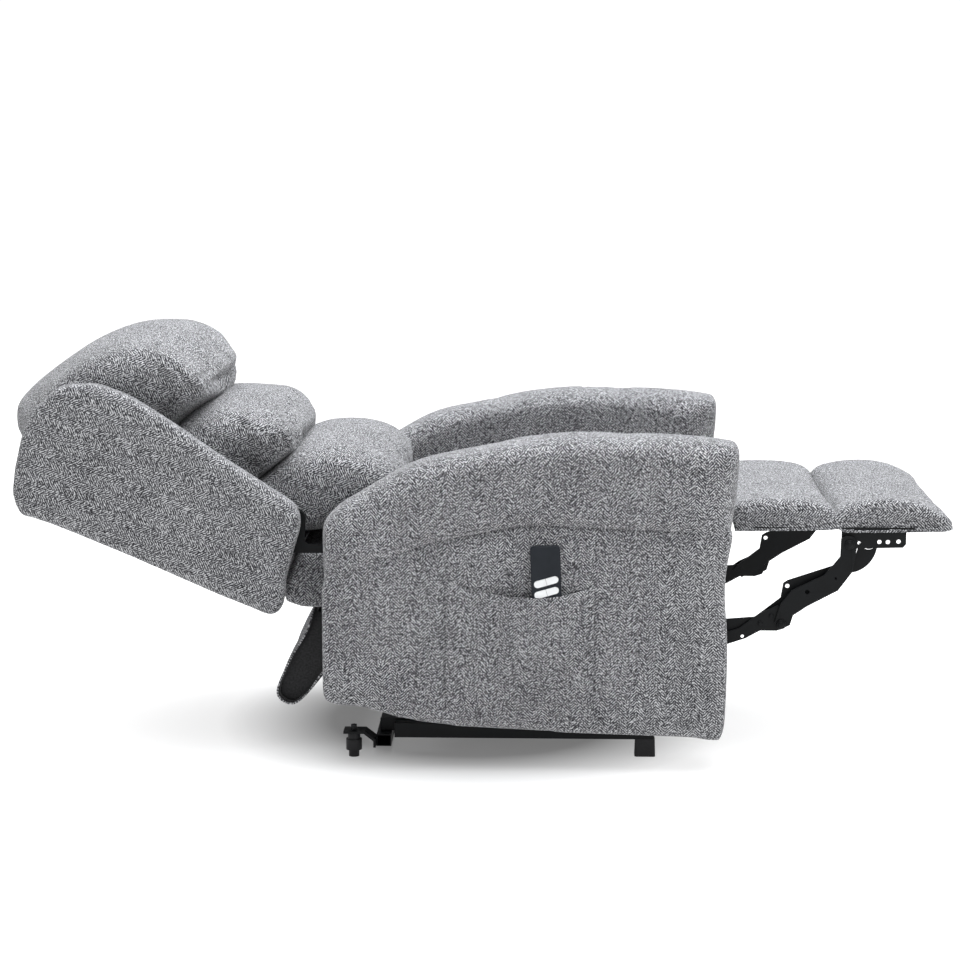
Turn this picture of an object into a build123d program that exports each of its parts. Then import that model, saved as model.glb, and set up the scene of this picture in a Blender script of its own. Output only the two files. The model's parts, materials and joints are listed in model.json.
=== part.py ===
"""Lift recliner chair, fully reclined with the footrest out and the base down.

Millimetres. +Z is up, the front of the chair (footrest) is -Y and the head end is +Y.
The sitter's right side, with the pocket and the handset, is -X. The origin is on the
floor under the middle of the whole chair. Side profiles are drawn in (Y, Z) from a datum
MIDDLE_Y in front of that middle, and save() moves each finished piece by that much.
"""

from build123d import *
from math import atan2, cos, degrees, hypot, radians, sin
import os

os.makedirs("parts", exist_ok=True)

# ---------------------------------------------------------------- driving dimensions
MIDDLE_Y = 26.0  # middle of the chair's length, from the drawing datum
ARM_INNER = 282.0  # inner face of an arm, from the middle plane
ARM_OUTER = 416.0  # outer face of an arm panel
ARM_PAD_INNER = 281.0
ARM_PAD_OUTER = 420.0
ARM_REAR = 303.0
WING_INNER = 285.0
WING_OUTER = 350.0
SEAT_HALF = 245.0
SEAT_WIDE_HALF = 279.0
SEAT_WIDE_FROM = -330.0
SEAT_FRONT = -440.0
SEAT_REAR = 118.0
SEAT_BOTTOM = 372.0
SEAT_TOP = 505.0
FOOT_HALF = 268.0  # half width of the footrest pads

# layers of the side mechanism, from the middle plane outwards
STRUT_LAYER = (224.0, 230.0)  # front lift links
BASE_PLATE_LAYER = (232.0, 238.0)  # pivot brackets of the base
LIFT_LAYER = (240.0, 246.0)  # rear lift links
SIDE_PLATE_LAYER = (248.0, 252.0)
HOOK_LAYER = (254.0, 258.0)
UPPER_LAYER = (259.5, 263.5)
BRACKET_LAYER = (261.5, 265.5)
LOWER_LAYER = (266.0, 270.0)
LONG_LAYER = (272.0, 276.0)
RECLINE_LAYER = (276.0, ARM_PAD_INNER)
HINGE_PLATE_LAYER = (266.0, 272.0)

PIN_R = 6.0
RUNNING = 0.05  # radial clearance of a pin in its hole
LINK_HALF = 13.0  # half width of a footrest link

# pivots, as (Y, Z)
LIFT_BASE = (-250.0, 80.0)  # rear lift link on the base
LIFT_TOP = (50.0, 120.0)  # rear lift link on the chassis
STRUT_BASE = (-295.0, 105.0)  # front lift link on the base
STRUT_TOP = (-5.0, 155.0)  # front lift link at the chassis, the open pivot
STRUT_CLEARANCE = 3.5
LIFT_MOTOR_EYE = (150.0, 60.0)
LIFT_CRANK_R = 60.0
LIFT_CRANK_ANGLE = 60.0
LIFT_CRANK_END = (
    LIFT_BASE[0] + LIFT_CRANK_R * cos(radians(LIFT_CRANK_ANGLE)),
    LIFT_BASE[1] + LIFT_CRANK_R * sin(radians(LIFT_CRANK_ANGLE)),
)
RECLINE = (372.0, 480.0)
BACK_MOTOR_EYE = (-45.0, 190.0)
BACK_CRANK_END = (286.0, 345.0)
LOWER_BASE = (-356.0, 198.0)  # lower footrest link on the chassis
LOWER_END = (-598.1, 271.9)  # lower link to long link
UPPER_BASE = (-340.0, 254.0)  # upper footrest link on the chassis
UPPER_END = (-554.4, 271.3)  # upper link to hook link
LONG_END = (-731.0, 435.0)  # long link to footrest bracket
HOOK_END = (-771.0, 438.0)  # hook link at the footrest bracket, the open pivot
HOOK_CLEARANCE = 6.0

# backrest plane: its rear face, drawn along the back (U) and away from it (N)
BACK_FOOT = (411.0, 299.0)
BACK_HEAD = (900.0, 497.0)
BACK_ANGLE = degrees(atan2(BACK_HEAD[1] - BACK_FOOT[1], BACK_HEAD[0] - BACK_FOOT[0]))
BACK_LENGTH = hypot(BACK_HEAD[0] - BACK_FOOT[0], BACK_HEAD[1] - BACK_FOOT[1])
BACK_PLANE = Plane(
    origin=(0, BACK_FOOT[0], BACK_FOOT[1]),
    x_dir=(1, 0, 0),
    z_dir=(0, -sin(radians(BACK_ANGLE)), cos(radians(BACK_ANGLE))),
)

SIDES = (("right", -1), ("left", 1))


def side_plane(side, layer):
    """The Y-Z plane at the face of a layer that has the smaller X."""
    inner, outer = layer
    return Plane.YZ.offset(inner if side > 0 else -outer)


def thickness(layer):
    return layer[1] - layer[0]


def save(builder, name):
    builder.part.label = name
    builder.part.position = (0, -MIDDLE_Y, 0)
    export_step(builder.part, f"parts/{name}.step")


def between(start, end, share):
    return (start[0] + share * (end[0] - start[0]), start[1] + share * (end[1] - start[1]))


# ---------------------------------------------------------------- base
RAIL_LAYER = (262.0, 292.0)
RAIL_BOTTOM = 36.0
RAIL_TOP = 66.0
RAIL_WALL = 2.0
BASE_FRONT = -345.0
RAIL_REAR = 176.0
FRONT_TUBE_REAR = -315.0
REAR_TUBE = (182.0, 212.0)
REAR_TUBE_Z = (20.0, 44.0)
GLIDE_Y = 257.0
GLIDE_X = 300.0
GLIDE_R = 16.0
GLIDE_FOOT_R = 10.5
GLIDE_FOOT_TOP = 14.0
GLIDE_BODY_TOP = 36.0
GLIDE_NECK_R = 12.5
GLIDE_TOP = 50.0
BOLT_R = 5.0
BOLT_HEAD_R = 6.5
BOLT_TOP = 65.0
FOOT_STEEL = 5.0

for side_name, side in SIDES:
    with BuildPart() as base_rail:
        with BuildSketch(side_plane(side, RAIL_LAYER)):
            with BuildLine():
                Polyline(
                    (BASE_FRONT, RAIL_BOTTOM),
                    (RAIL_REAR, RAIL_BOTTOM),
                    (RAIL_REAR, RAIL_TOP),
                    (BASE_FRONT, RAIL_TOP),
                    close=True,
                )
            make_face()
        extrude(amount=thickness(RAIL_LAYER))
        # the tube is open at its rear end, where a flat plate carries it to the rear tube
        rail_mid = side * sum(RAIL_LAYER) / 2
        rail_inner_width = thickness(RAIL_LAYER) - 2 * RAIL_WALL
        with BuildSketch(Plane.XZ.offset(-RAIL_REAR)):
            with Locations((rail_mid, (RAIL_BOTTOM + RAIL_TOP) / 2)):
                Rectangle(rail_inner_width, rail_inner_width)
        extrude(amount=RAIL_REAR - BASE_FRONT - RAIL_WALL, mode=Mode.SUBTRACT)
        with BuildSketch(side_plane(side, (RAIL_LAYER[0], RAIL_LAYER[0] + 6))):
            with BuildLine():
                Polyline(
                    (RAIL_REAR - 40, RAIL_TOP),
                    (RAIL_REAR - 40, RAIL_TOP + 4),
                    (RAIL_REAR + 30, RAIL_TOP + 4),
                    (RAIL_REAR + 30, REAR_TUBE_Z[1]),
                    (RAIL_REAR, REAR_TUBE_Z[1]),
                    (RAIL_REAR, RAIL_TOP),
                    close=True,
                )
            make_face()
        extrude(amount=6)
    save(base_rail, f"base_rail_{side_name}")

with BuildPart() as base_front_tube:
    with BuildSketch(Plane.YZ.offset(-RAIL_LAYER[0])):
        with Locations(((BASE_FRONT + FRONT_TUBE_REAR) / 2, (RAIL_BOTTOM + RAIL_TOP) / 2)):
            Rectangle(FRONT_TUBE_REAR - BASE_FRONT, RAIL_TOP - RAIL_BOTTOM)
            Rectangle(
                FRONT_TUBE_REAR - BASE_FRONT - 2 * RAIL_WALL,
                RAIL_TOP - RAIL_BOTTOM - 2 * RAIL_WALL,
                mode=Mode.SUBTRACT,
            )
    extrude(amount=2 * RAIL_LAYER[0])
save(base_front_tube, "base_front_tube")

REAR_TUBE_HALF = 300.0
with BuildPart() as base_rear_tube:
    with BuildSketch(Plane.YZ.offset(-REAR_TUBE_HALF)):
        with Locations((sum(REAR_TUBE) / 2, sum(REAR_TUBE_Z) / 2)):
            Rectangle(thickness(REAR_TUBE), thickness(REAR_TUBE_Z))
            Rectangle(
                thickness(REAR_TUBE) - 2 * RAIL_WALL,
                thickness(REAR_TUBE_Z) - 2 * RAIL_WALL,
                mode=Mode.SUBTRACT,
            )
    extrude(amount=2 * REAR_TUBE_HALF)
save(base_rear_tube, "base_rear_tube")

with BuildPart() as front_feet:
    for side_name, side in SIDES:
        with BuildSketch(Plane.XY):
            with Locations((side * sum(RAIL_LAYER) / 2, BASE_FRONT + 16)):
                RectangleRounded(30, 42, 5)
        extrude(amount=RAIL_BOTTOM, taper=2)
save(front_feet, "front_feet")

with BuildPart() as rear_foot_brackets:
    for side_name, side in SIDES:
        bracket_layer = (GLIDE_X - 20, GLIDE_X + 20)
        with BuildSketch(side_plane(side, bracket_layer)):
            with BuildLine():
                Polyline(
                    (REAR_TUBE[1], 22),
                    (REAR_TUBE[1] + FOOT_STEEL, 22),
                    (REAR_TUBE[1] + FOOT_STEEL, 35),
                    (236, GLIDE_TOP),
                    (GLIDE_Y + 20, GLIDE_TOP),
                    (GLIDE_Y + 20, GLIDE_TOP + FOOT_STEEL),
                    (233, GLIDE_TOP + FOOT_STEEL),
                    (REAR_TUBE[1], 39),
                    close=True,
                )
            make_face()
        extrude(amount=thickness(bracket_layer))
        with BuildSketch(Plane.XY.offset(GLIDE_TOP)):
            with Locations((side * GLIDE_X, GLIDE_Y)):
                Circle(BOLT_R + 0.3)
        extrude(amount=FOOT_STEEL, mode=Mode.SUBTRACT)
save(rear_foot_brackets, "rear_foot_brackets")

with BuildPart() as rear_glides:
    for side_name, side in SIDES:
        with Locations((side * GLIDE_X, GLIDE_Y, 0)):
            Cylinder(GLIDE_FOOT_R, GLIDE_FOOT_TOP, align=(Align.CENTER, Align.CENTER, Align.MIN))
        with Locations((side * GLIDE_X, GLIDE_Y, GLIDE_FOOT_TOP)):
            Cylinder(GLIDE_R, GLIDE_BODY_TOP - GLIDE_FOOT_TOP, align=(Align.CENTER, Align.CENTER, Align.MIN))
        with Locations((side * GLIDE_X, GLIDE_Y, GLIDE_BODY_TOP)):
            Cylinder(GLIDE_NECK_R, GLIDE_TOP - GLIDE_BODY_TOP, align=(Align.CENTER, Align.CENTER, Align.MIN))
        with Locations((side * GLIDE_X, GLIDE_Y, GLIDE_TOP)):
            Cylinder(BOLT_R, FOOT_STEEL, align=(Align.CENTER, Align.CENTER, Align.MIN))
        with BuildSketch(Plane.XY.offset(GLIDE_TOP + FOOT_STEEL)):
            with Locations((side * GLIDE_X, GLIDE_Y)):
                RegularPolygon(BOLT_HEAD_R, 6)
        extrude(amount=BOLT_TOP - GLIDE_TOP - FOOT_STEEL)
save(rear_glides, "rear_glides")

SHAFT_R = 12.0
with BuildPart() as base_pivot_brackets:
    for side_name, side in SIDES:
        with BuildSketch(side_plane(side, BASE_PLATE_LAYER)):
            with BuildLine():
                Polyline(
                    (BASE_FRONT, RAIL_TOP),
                    (-228, RAIL_TOP),
                    (-228, 92),
                    (-244, 102),
                    (-272, 124),
                    (-318, 124),
                    (BASE_FRONT, 90),
                    close=True,
                )
            make_face()
            with Locations(LIFT_BASE):
                Circle(SHAFT_R + RUNNING, mode=Mode.SUBTRACT)
        extrude(amount=thickness(BASE_PLATE_LAYER))
        # fixed stud for the front lift link, with a head inside the link
        with BuildSketch(side_plane(side, (STRUT_LAYER[0] - 1, BASE_PLATE_LAYER[0]))):
            with Locations(STRUT_BASE):
                Circle(PIN_R)
        extrude(amount=BASE_PLATE_LAYER[0] - STRUT_LAYER[0] + 1)
        with BuildSketch(side_plane(side, (STRUT_LAYER[0] - 5, STRUT_LAYER[0] - 1))):
            with Locations(STRUT_BASE):
                Circle(PIN_R + 4)
        extrude(amount=4)
save(base_pivot_brackets, "base_pivot_brackets")

CLEVIS_GAP = 14.0
CLEVIS_STEEL = 5.0
with BuildPart() as lift_motor_clevis:
    for side_name, side in SIDES:
        with BuildSketch(side_plane(side, (CLEVIS_GAP, CLEVIS_GAP + CLEVIS_STEEL))):
            with BuildLine():
                Polyline((182, 24), (182, 43), (160, 76), (138, 76), (138, 46), close=True)
            make_face()
        extrude(amount=CLEVIS_STEEL)
    # the pin that the motor's rear eye turns on
    with BuildSketch(Plane.YZ.offset(-CLEVIS_GAP)):
        with Locations(LIFT_MOTOR_EYE):
            Circle(PIN_R)
    extrude(amount=2 * CLEVIS_GAP)
save(lift_motor_clevis, "lift_motor_clevis")


# ---------------------------------------------------------------- lift links
def bar(start, end, half_width):
    """A straight link outline with round ends, drawn in (Y, Z)."""
    length = hypot(end[0] - start[0], end[1] - start[1])
    angle = degrees(atan2(end[1] - start[1], end[0] - start[0]))
    with Locations(between(start, end, 0.5)):
        SlotCenterToCenter(length, 2 * half_width, rotation=angle)


with BuildPart() as rear_lift_links:
    for side_name, side in SIDES:
        with BuildSketch(side_plane(side, LIFT_LAYER)):
            bar(LIFT_BASE, LIFT_TOP, 17)
            with Locations(LIFT_TOP):
                Circle(PIN_R + RUNNING, mode=Mode.SUBTRACT)
        extrude(amount=thickness(LIFT_LAYER))
save(rear_lift_links, "rear_lift_links")

with BuildPart() as lift_shaft:
    with BuildSketch(Plane.YZ.offset(-LIFT_LAYER[0])):
        with Locations(LIFT_BASE):
            Circle(SHAFT_R)
            Circle(SHAFT_R - 3, mode=Mode.SUBTRACT)
    extrude(amount=2 * LIFT_LAYER[0])
    with BuildSketch(Plane.YZ.offset(-4)):
        bar(LIFT_BASE, LIFT_CRANK_END, 10)
        with Locations(LIFT_BASE):
            Circle(SHAFT_R - 3, mode=Mode.SUBTRACT)
        with Locations(LIFT_CRANK_END):
            Circle(PIN_R, mode=Mode.SUBTRACT)
    extrude(amount=8)
save(lift_shaft, "lift_shaft")

with BuildPart() as front_lift_links:
    for side_name, side in SIDES:
        with BuildSketch(side_plane(side, STRUT_LAYER)):
            bar(STRUT_BASE, STRUT_TOP, 12)
            with Locations(STRUT_TOP):
                Circle(17)
                Circle(PIN_R + STRUT_CLEARANCE, mode=Mode.SUBTRACT)
            with Locations(STRUT_BASE):
                Circle(PIN_R + RUNNING, mode=Mode.SUBTRACT)
        extrude(amount=thickness(STRUT_LAYER))
save(front_lift_links, "front_lift_links")


# ---------------------------------------------------------------- linear motors
MOTOR_TUBE_R = 20.0
ROD_R = 10.0
ROD_GUIDE_R = 10.05
ROD_START = 70.0
MOTOR_TUBE_START = 24.0
FORK_THROAT = 32.0


def motor_plane(eye, rod_end):
    """The plane across a motor at its rear eye, with its Z along the rod."""
    length = hypot(rod_end[0] - eye[0], rod_end[1] - eye[1])
    direction = (0, (rod_end[0] - eye[0]) / length, (rod_end[1] - eye[1]) / length)
    return Plane(origin=(0, eye[0], eye[1]), x_dir=(1, 0, 0), z_dir=direction), length


def motor_housing(name, eye, rod_end, tube_end):
    plane, length = motor_plane(eye, rod_end)
    with BuildPart() as housing:
        with BuildSketch(plane.offset(MOTOR_TUBE_START)):
            Circle(MOTOR_TUBE_R)
        extrude(amount=tube_end - MOTOR_TUBE_START)
        # gearbox, and the motor can lying beside the tube
        with BuildSketch(plane.offset(MOTOR_TUBE_START)):
            with Locations((28, 0)):
                RectangleRounded(104, 50, 12)
        extrude(amount=40)
        with BuildSketch(plane.offset(MOTOR_TUBE_START + 40)):
            with Locations((52, 0)):
                Circle(24)
        extrude(amount=95)
        # rear eye, a flat tongue between the clevis ears
        with BuildSketch(Plane.YZ.offset(-CLEVIS_GAP + 1)):
            bar(eye, between(eye, rod_end, (MOTOR_TUBE_START + 6) / length), 14)
        extrude(amount=2 * CLEVIS_GAP - 2)
        with BuildSketch(Plane.YZ.offset(-CLEVIS_GAP)):
            with Locations(eye):
                Circle(PIN_R + RUNNING)
        extrude(amount=2 * CLEVIS_GAP, mode=Mode.SUBTRACT)
        with BuildSketch(plane.offset(ROD_START - 4)):
            Circle(ROD_GUIDE_R)
        extrude(amount=tube_end - ROD_START + 4, mode=Mode.SUBTRACT)
    save(housing, name)


def motor_rod(name, eye, rod_end):
    plane, length = motor_plane(eye, rod_end)
    with BuildPart() as rod:
        with BuildSketch(plane.offset(ROD_START)):
            Circle(ROD_R)
        extrude(amount=length - FORK_THROAT - ROD_START)
        # the fork straddles its crank without a pin: this is the open pivot
        with BuildSketch(plane.offset(length - FORK_THROAT - 12)):
            Rectangle(26, 20)
        extrude(amount=12)
        with BuildSketch(plane.offset(length - FORK_THROAT)):
            for tine in (-1, 1):
                with Locations((tine * 10, 0)):
                    Rectangle(6, 20)
        extrude(amount=FORK_THROAT + 8)
    save(rod, name)


motor_housing("lift_motor_housing", LIFT_MOTOR_EYE, LIFT_CRANK_END, 240)
motor_rod("lift_motor_rod", LIFT_MOTOR_EYE, LIFT_CRANK_END)
motor_housing("back_motor_housing", BACK_MOTOR_EYE, BACK_CRANK_END, 240)
motor_rod("back_motor_rod", BACK_MOTOR_EYE, BACK_CRANK_END)


# ---------------------------------------------------------------- seat frame
TORQUE_R = 10.0
CROSS = 28.0
FRONT_CROSS = (-304.0, 304.0)  # centre of the front cross tube
REAR_CROSS = (214.0, 214.0)
MOTOR_CROSS = (-85.0, 190.0)

for side_name, side in SIDES:
    with BuildPart() as side_plate:
        with BuildSketch(side_plane(side, SIDE_PLATE_LAYER)):
            with BuildLine():
                Polyline(
                    (-400, SEAT_BOTTOM),
                    (-400, 322),
                    (-385, 180),
                    (-330, 172),
                    (20, 98),
                    (80, 98),
                    (240, 190),
                    (240, 300),
                    (SEAT_REAR + 30, 300),
                    (SEAT_REAR, 326),
                    (SEAT_REAR, SEAT_BOTTOM),
                    close=True,
                )
            make_face()
            with Locations(LOWER_BASE):
                Circle(TORQUE_R + RUNNING, mode=Mode.SUBTRACT)
        extrude(amount=thickness(SIDE_PLATE_LAYER))
        # spacers that carry the arm, outside the plate
        for spacer in (FRONT_CROSS, (REAR_CROSS[0], REAR_CROSS[1] + 60)):
            with BuildSketch(side_plane(side, (SIDE_PLATE_LAYER[1], ARM_INNER))):
                with Locations(spacer):
                    Rectangle(CROSS, CROSS)
            extrude(amount=ARM_INNER - SIDE_PLATE_LAYER[1])
        # studs: lift link and front lift link inside, upper footrest link outside
        with BuildSketch(side_plane(side, (LIFT_LAYER[0] - 2, SIDE_PLATE_LAYER[0]))):
            with Locations(LIFT_TOP):
                Circle(PIN_R)
        extrude(amount=SIDE_PLATE_LAYER[0] - LIFT_LAYER[0] + 2)
        with BuildSketch(side_plane(side, (STRUT_LAYER[0] - 2, SIDE_PLATE_LAYER[0]))):
            with Locations(STRUT_TOP):
                Circle(PIN_R)
        extrude(amount=SIDE_PLATE_LAYER[0] - STRUT_LAYER[0] + 2)
        with BuildSketch(side_plane(side, (SIDE_PLATE_LAYER[1], UPPER_LAYER[1] + 1.5))):
            with Locations(UPPER_BASE):
                Circle(PIN_R)
        extrude(amount=UPPER_LAYER[1] + 1.5 - SIDE_PLATE_LAYER[1])
    save(side_plate, f"side_plate_{side_name}")

with BuildPart() as seat_cross_tubes:
    with BuildSketch(Plane.YZ.offset(-SIDE_PLATE_LAYER[0])):
        with Locations(FRONT_CROSS, REAR_CROSS, MOTOR_CROSS):
            Rectangle(CROSS, CROSS)
            Rectangle(CROSS - 5, CROSS - 5, mode=Mode.SUBTRACT)
    extrude(amount=2 * SIDE_PLATE_LAYER[0])
    # ears and pin for the back motor
    for side_name, side in SIDES:
        with BuildSketch(side_plane(side, (CLEVIS_GAP, CLEVIS_GAP + CLEVIS_STEEL))):
            with BuildLine():
                motor_cross_face = MOTOR_CROSS[0] + CROSS / 2
                Polyline(
                    (motor_cross_face, MOTOR_CROSS[1] - 12),
                    (motor_cross_face, MOTOR_CROSS[1] + 12),
                    (BACK_MOTOR_EYE[0] + 12, BACK_MOTOR_EYE[1] + 12),
                    (BACK_MOTOR_EYE[0] + 12, BACK_MOTOR_EYE[1] - 12),
                    close=True,
                )
            make_face()
        extrude(amount=CLEVIS_STEEL)
    with BuildSketch(Plane.YZ.offset(-CLEVIS_GAP)):
        with Locations(BACK_MOTOR_EYE):
            Circle(PIN_R)
    extrude(amount=2 * CLEVIS_GAP)
save(seat_cross_tubes, "seat_cross_tubes")

RAIL_DEPTH = 22.0
SPRING_Z = 352.0
with BuildPart() as seat_rails:
    for rail_y in (-400 + RAIL_DEPTH / 2, SEAT_REAR - RAIL_DEPTH / 2):
        with BuildSketch(Plane.XY.offset(SEAT_BOTTOM - 50)):
            with Locations((0, rail_y)):
                Rectangle(2 * SIDE_PLATE_LAYER[0], RAIL_DEPTH)
        extrude(amount=50)
save(seat_rails, "seat_rails")

SPRING_WIRE = 4.0
SPRING_HALF = 24.0
SPRING_PITCH = 20.0
spring_start = -400 + RAIL_DEPTH
spring_run = SEAT_REAR - RAIL_DEPTH - spring_start
spring_waves = int(spring_run // SPRING_PITCH)
with BuildPart() as seat_springs:
    for spring_x in (-180, -90, 0, 90, 180):
        with BuildSketch(Plane.XY.offset(SPRING_Z)):
            with BuildLine() as spring_line:
                step = spring_run / spring_waves
                zigzag = [(spring_x, spring_start + SPRING_WIRE)]
                for wave in range(1, spring_waves):
                    swing = SPRING_HALF if wave % 2 else -SPRING_HALF
                    zigzag.append((spring_x + swing, spring_start + wave * step))
                zigzag.append((spring_x, spring_start + spring_run - SPRING_WIRE))
                Polyline(*zigzag)
            trace(line_width=SPRING_WIRE)
        extrude(amount=SPRING_WIRE)
save(seat_springs, "seat_springs")

with BuildPart() as seat_cushion:
    with BuildSketch(Plane.YZ.offset(-SEAT_HALF)):
        with BuildLine():
            # the front edge drops in front of the wooden rail
            Polyline(
                (SEAT_REAR, SEAT_BOTTOM),
                (-401, SEAT_BOTTOM),
                (-401, 322),
                (SEAT_FRONT, 322),
                (SEAT_FRONT, SEAT_TOP - 40),
                (SEAT_FRONT + 40, SEAT_TOP),
                (SEAT_REAR - 15, SEAT_TOP),
                (SEAT_REAR, SEAT_TOP - 15),
                close=True,
            )
        make_face()
    extrude(amount=2 * SEAT_HALF)
    # behind the folded footrest links the cushion fills the width between the arms
    with BuildSketch(Plane.XY.offset(SEAT_BOTTOM + 2)):
        with Locations((0, (SEAT_WIDE_FROM + SEAT_REAR) / 2)):
            Rectangle(2 * SEAT_WIDE_HALF, SEAT_REAR - SEAT_WIDE_FROM)
    extrude(amount=SEAT_TOP - 12 - SEAT_BOTTOM)
save(seat_cushion, "seat_cushion")

# ---------------------------------------------------------------- arms
SEAM = [(-491, 464), (-277, 469), (-107, 474), (7, 459), (121, 433), (227, 393), (ARM_REAR, 352)]
ARM_TOP = [(ARM_REAR, 500), (210, 566), (124, 611), (9, 638), (-106, 661), (-277, 669), (-480, 655)]

for side_name, side in SIDES:
    with BuildPart() as arm_pad:
        pad_layer = (ARM_PAD_INNER, ARM_PAD_OUTER)
        with BuildSketch(side_plane(side, pad_layer)):
            with BuildLine():
                Spline(*ARM_TOP)
                Line((-480, 655), (-502, 635))
                Line((-502, 635), (-491, 464))
                Spline(*SEAM)
                Line(SEAM[-1], ARM_TOP[0])
            make_face()
        extrude(amount=thickness(pad_layer))
        fillet(arm_pad.edges().filter_by(Axis.X).group_by(Axis.Y)[0], 8)
    save(arm_pad, f"arm_pad_{side_name}")

    with BuildPart() as arm_panel:
        panel_layer = (ARM_INNER, ARM_OUTER)
        panel_top = [(y, z - 0.6) for y, z in SEAM]
        with BuildSketch(side_plane(side, panel_layer)):
            with BuildLine():
                Spline(*panel_top)
                Line(panel_top[-1], (ARM_REAR, 139))
                Spline((ARM_REAR, 139), (180, 113), (64, 92), (-165, 80), (-470, 67))
                Polyline((-470, 67), (-484, 90), (-478, 351), panel_top[0])
            make_face()
        extrude(amount=thickness(panel_layer))
    save(arm_panel, f"arm_panel_{side_name}")

# ---------------------------------------------------------------- pocket and handset
POCKET_FRONT = -222.0
POCKET_REAR = 66.0
POCKET_BOTTOM = 142.0
POCKET_DEPTH = 23.0
POCKET_CLOTH = 2.0
POCKET_RIM = 6.0
pocket_layer = (ARM_OUTER, ARM_OUTER + POCKET_DEPTH)
with BuildPart() as side_pocket:
    with BuildSketch(side_plane(-1, pocket_layer)):
        with BuildLine():
            Polyline(
                (POCKET_REAR, 386),
                (POCKET_REAR, POCKET_BOTTOM),
                (POCKET_FRONT, POCKET_BOTTOM),
                (POCKET_FRONT, 374),
            )
            Spline((POCKET_FRONT, 374), (-100, 357), (0, 364), (POCKET_REAR, 386))
        make_face()
    extrude(amount=POCKET_DEPTH)
    with BuildSketch(side_plane(-1, (ARM_OUTER, ARM_OUTER + POCKET_DEPTH - POCKET_CLOTH))):
        with BuildLine():
            Polyline(
                (POCKET_REAR - POCKET_RIM, POCKET_BOTTOM + POCKET_RIM),
                (POCKET_REAR - POCKET_RIM, 400),
                (POCKET_FRONT + POCKET_RIM, 400),
                (POCKET_FRONT + POCKET_RIM, POCKET_BOTTOM + POCKET_RIM),
                close=True,
            )
        make_face()
    extrude(amount=POCKET_DEPTH - POCKET_CLOTH, mode=Mode.SUBTRACT)
save(side_pocket, "side_pocket")

HANDSET_Y = -130.0
HANDSET_WIDTH = 58.0
HANDSET_LENGTH = 180.0
HANDSET_MIDDLE_Z = 368.0
HANDSET_LEAN = -2.3  # degrees, the top leans towards the head end
HANDSET_LAYER = (ARM_PAD_OUTER + 1, ARM_PAD_OUTER + 15)
HANDSET_CORNER = 7.0
PILL_LENGTH = 48.5  # two buttons side by side
PILL_HEIGHT = 13.6
PILL_SLOPE = -14.0
PILL_SPLIT = 0.7
BUTTON_PROUD = 1.0
BUTTON_DEPTH = 5.0
BUTTON_GAP = 0.4
BUTTON_TRAVEL_ROOM = 1.6
GLAND_LENGTH = 13.0
BUTTON_ROWS = (("back", 20.0), ("foot", -1.0))  # heights above the handset's middle
BUTTON_ENDS = (("up", 1), ("down", -1))


def handset_plane(layer):
    """The plane of the handset's inner or outer face: X across it, Y along it."""
    lean = radians(HANDSET_LEAN)
    return Plane(
        origin=(-layer[1], HANDSET_Y, HANDSET_MIDDLE_Z),
        x_dir=(0, cos(lean), sin(lean)),
        z_dir=(1, 0, 0),
    )


with BuildPart() as handset_shell:
    with BuildSketch(handset_plane(HANDSET_LAYER)):
        RectangleRounded(HANDSET_WIDTH, HANDSET_LENGTH, HANDSET_CORNER)
    extrude(amount=thickness(HANDSET_LAYER))
    fillet(handset_shell.faces().sort_by(Axis.X)[0].edges(), 2.5)
    # wells that the buttons drop into
    with BuildSketch(handset_plane((HANDSET_LAYER[1] - BUTTON_DEPTH, HANDSET_LAYER[1]))):
        for row_name, row_height in BUTTON_ROWS:
            with Locations((0, row_height)):
                SlotOverall(
                    PILL_LENGTH + 2 * BUTTON_GAP,
                    PILL_HEIGHT + 2 * BUTTON_GAP,
                    rotation=PILL_SLOPE,
                )
    extrude(amount=BUTTON_DEPTH, mode=Mode.SUBTRACT)
    # the gland that the lead would leave by
    gland_y = HANDSET_Y + HANDSET_LENGTH / 2 * sin(radians(HANDSET_LEAN))
    gland_z = HANDSET_MIDDLE_Z - HANDSET_LENGTH / 2 - GLAND_LENGTH + 1
    with Locations((-sum(HANDSET_LAYER) / 2, gland_y, gland_z)):
        Cone(3, 4.5, GLAND_LENGTH, align=(Align.CENTER, Align.CENTER, Align.MIN))
save(handset_shell, "handset_shell")

button_layer = (HANDSET_LAYER[1] - BUTTON_DEPTH + BUTTON_TRAVEL_ROOM, HANDSET_LAYER[1] + BUTTON_PROUD)
for row_name, row_height in BUTTON_ROWS:
    for end_name, end in BUTTON_ENDS:
        with BuildPart() as button:
            with BuildSketch(handset_plane(button_layer)):
                with Locations(Location((0, row_height, 0), (0, 0, PILL_SLOPE))):
                    SlotOverall(PILL_LENGTH, PILL_HEIGHT)
                    with Locations((-end * (PILL_LENGTH - PILL_SPLIT) / 2, 0)):
                        Rectangle(PILL_LENGTH, PILL_HEIGHT + 2, mode=Mode.SUBTRACT)
            extrude(amount=thickness(button_layer))
        save(button, f"{row_name}_{end_name}_button")

# ---------------------------------------------------------------- recline brackets and flap
with BuildPart() as recline_brackets:
    for side_name, side in SIDES:
        with BuildSketch(side_plane(side, RECLINE_LAYER)):
            with BuildLine():
                Polyline(
                    (200, 412),
                    (378, 412),
                    (390, 424),
                    (392, 480),
                    (352, 480),
                    (354, 436),
                    (348, 430),
                    (200, 430),
                    close=True,
                )
            make_face()
            with Locations(RECLINE):
                Circle(20)
                Circle(PIN_R + RUNNING, mode=Mode.SUBTRACT)
        extrude(amount=thickness(RECLINE_LAYER))
save(recline_brackets, "recline_brackets")

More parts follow.
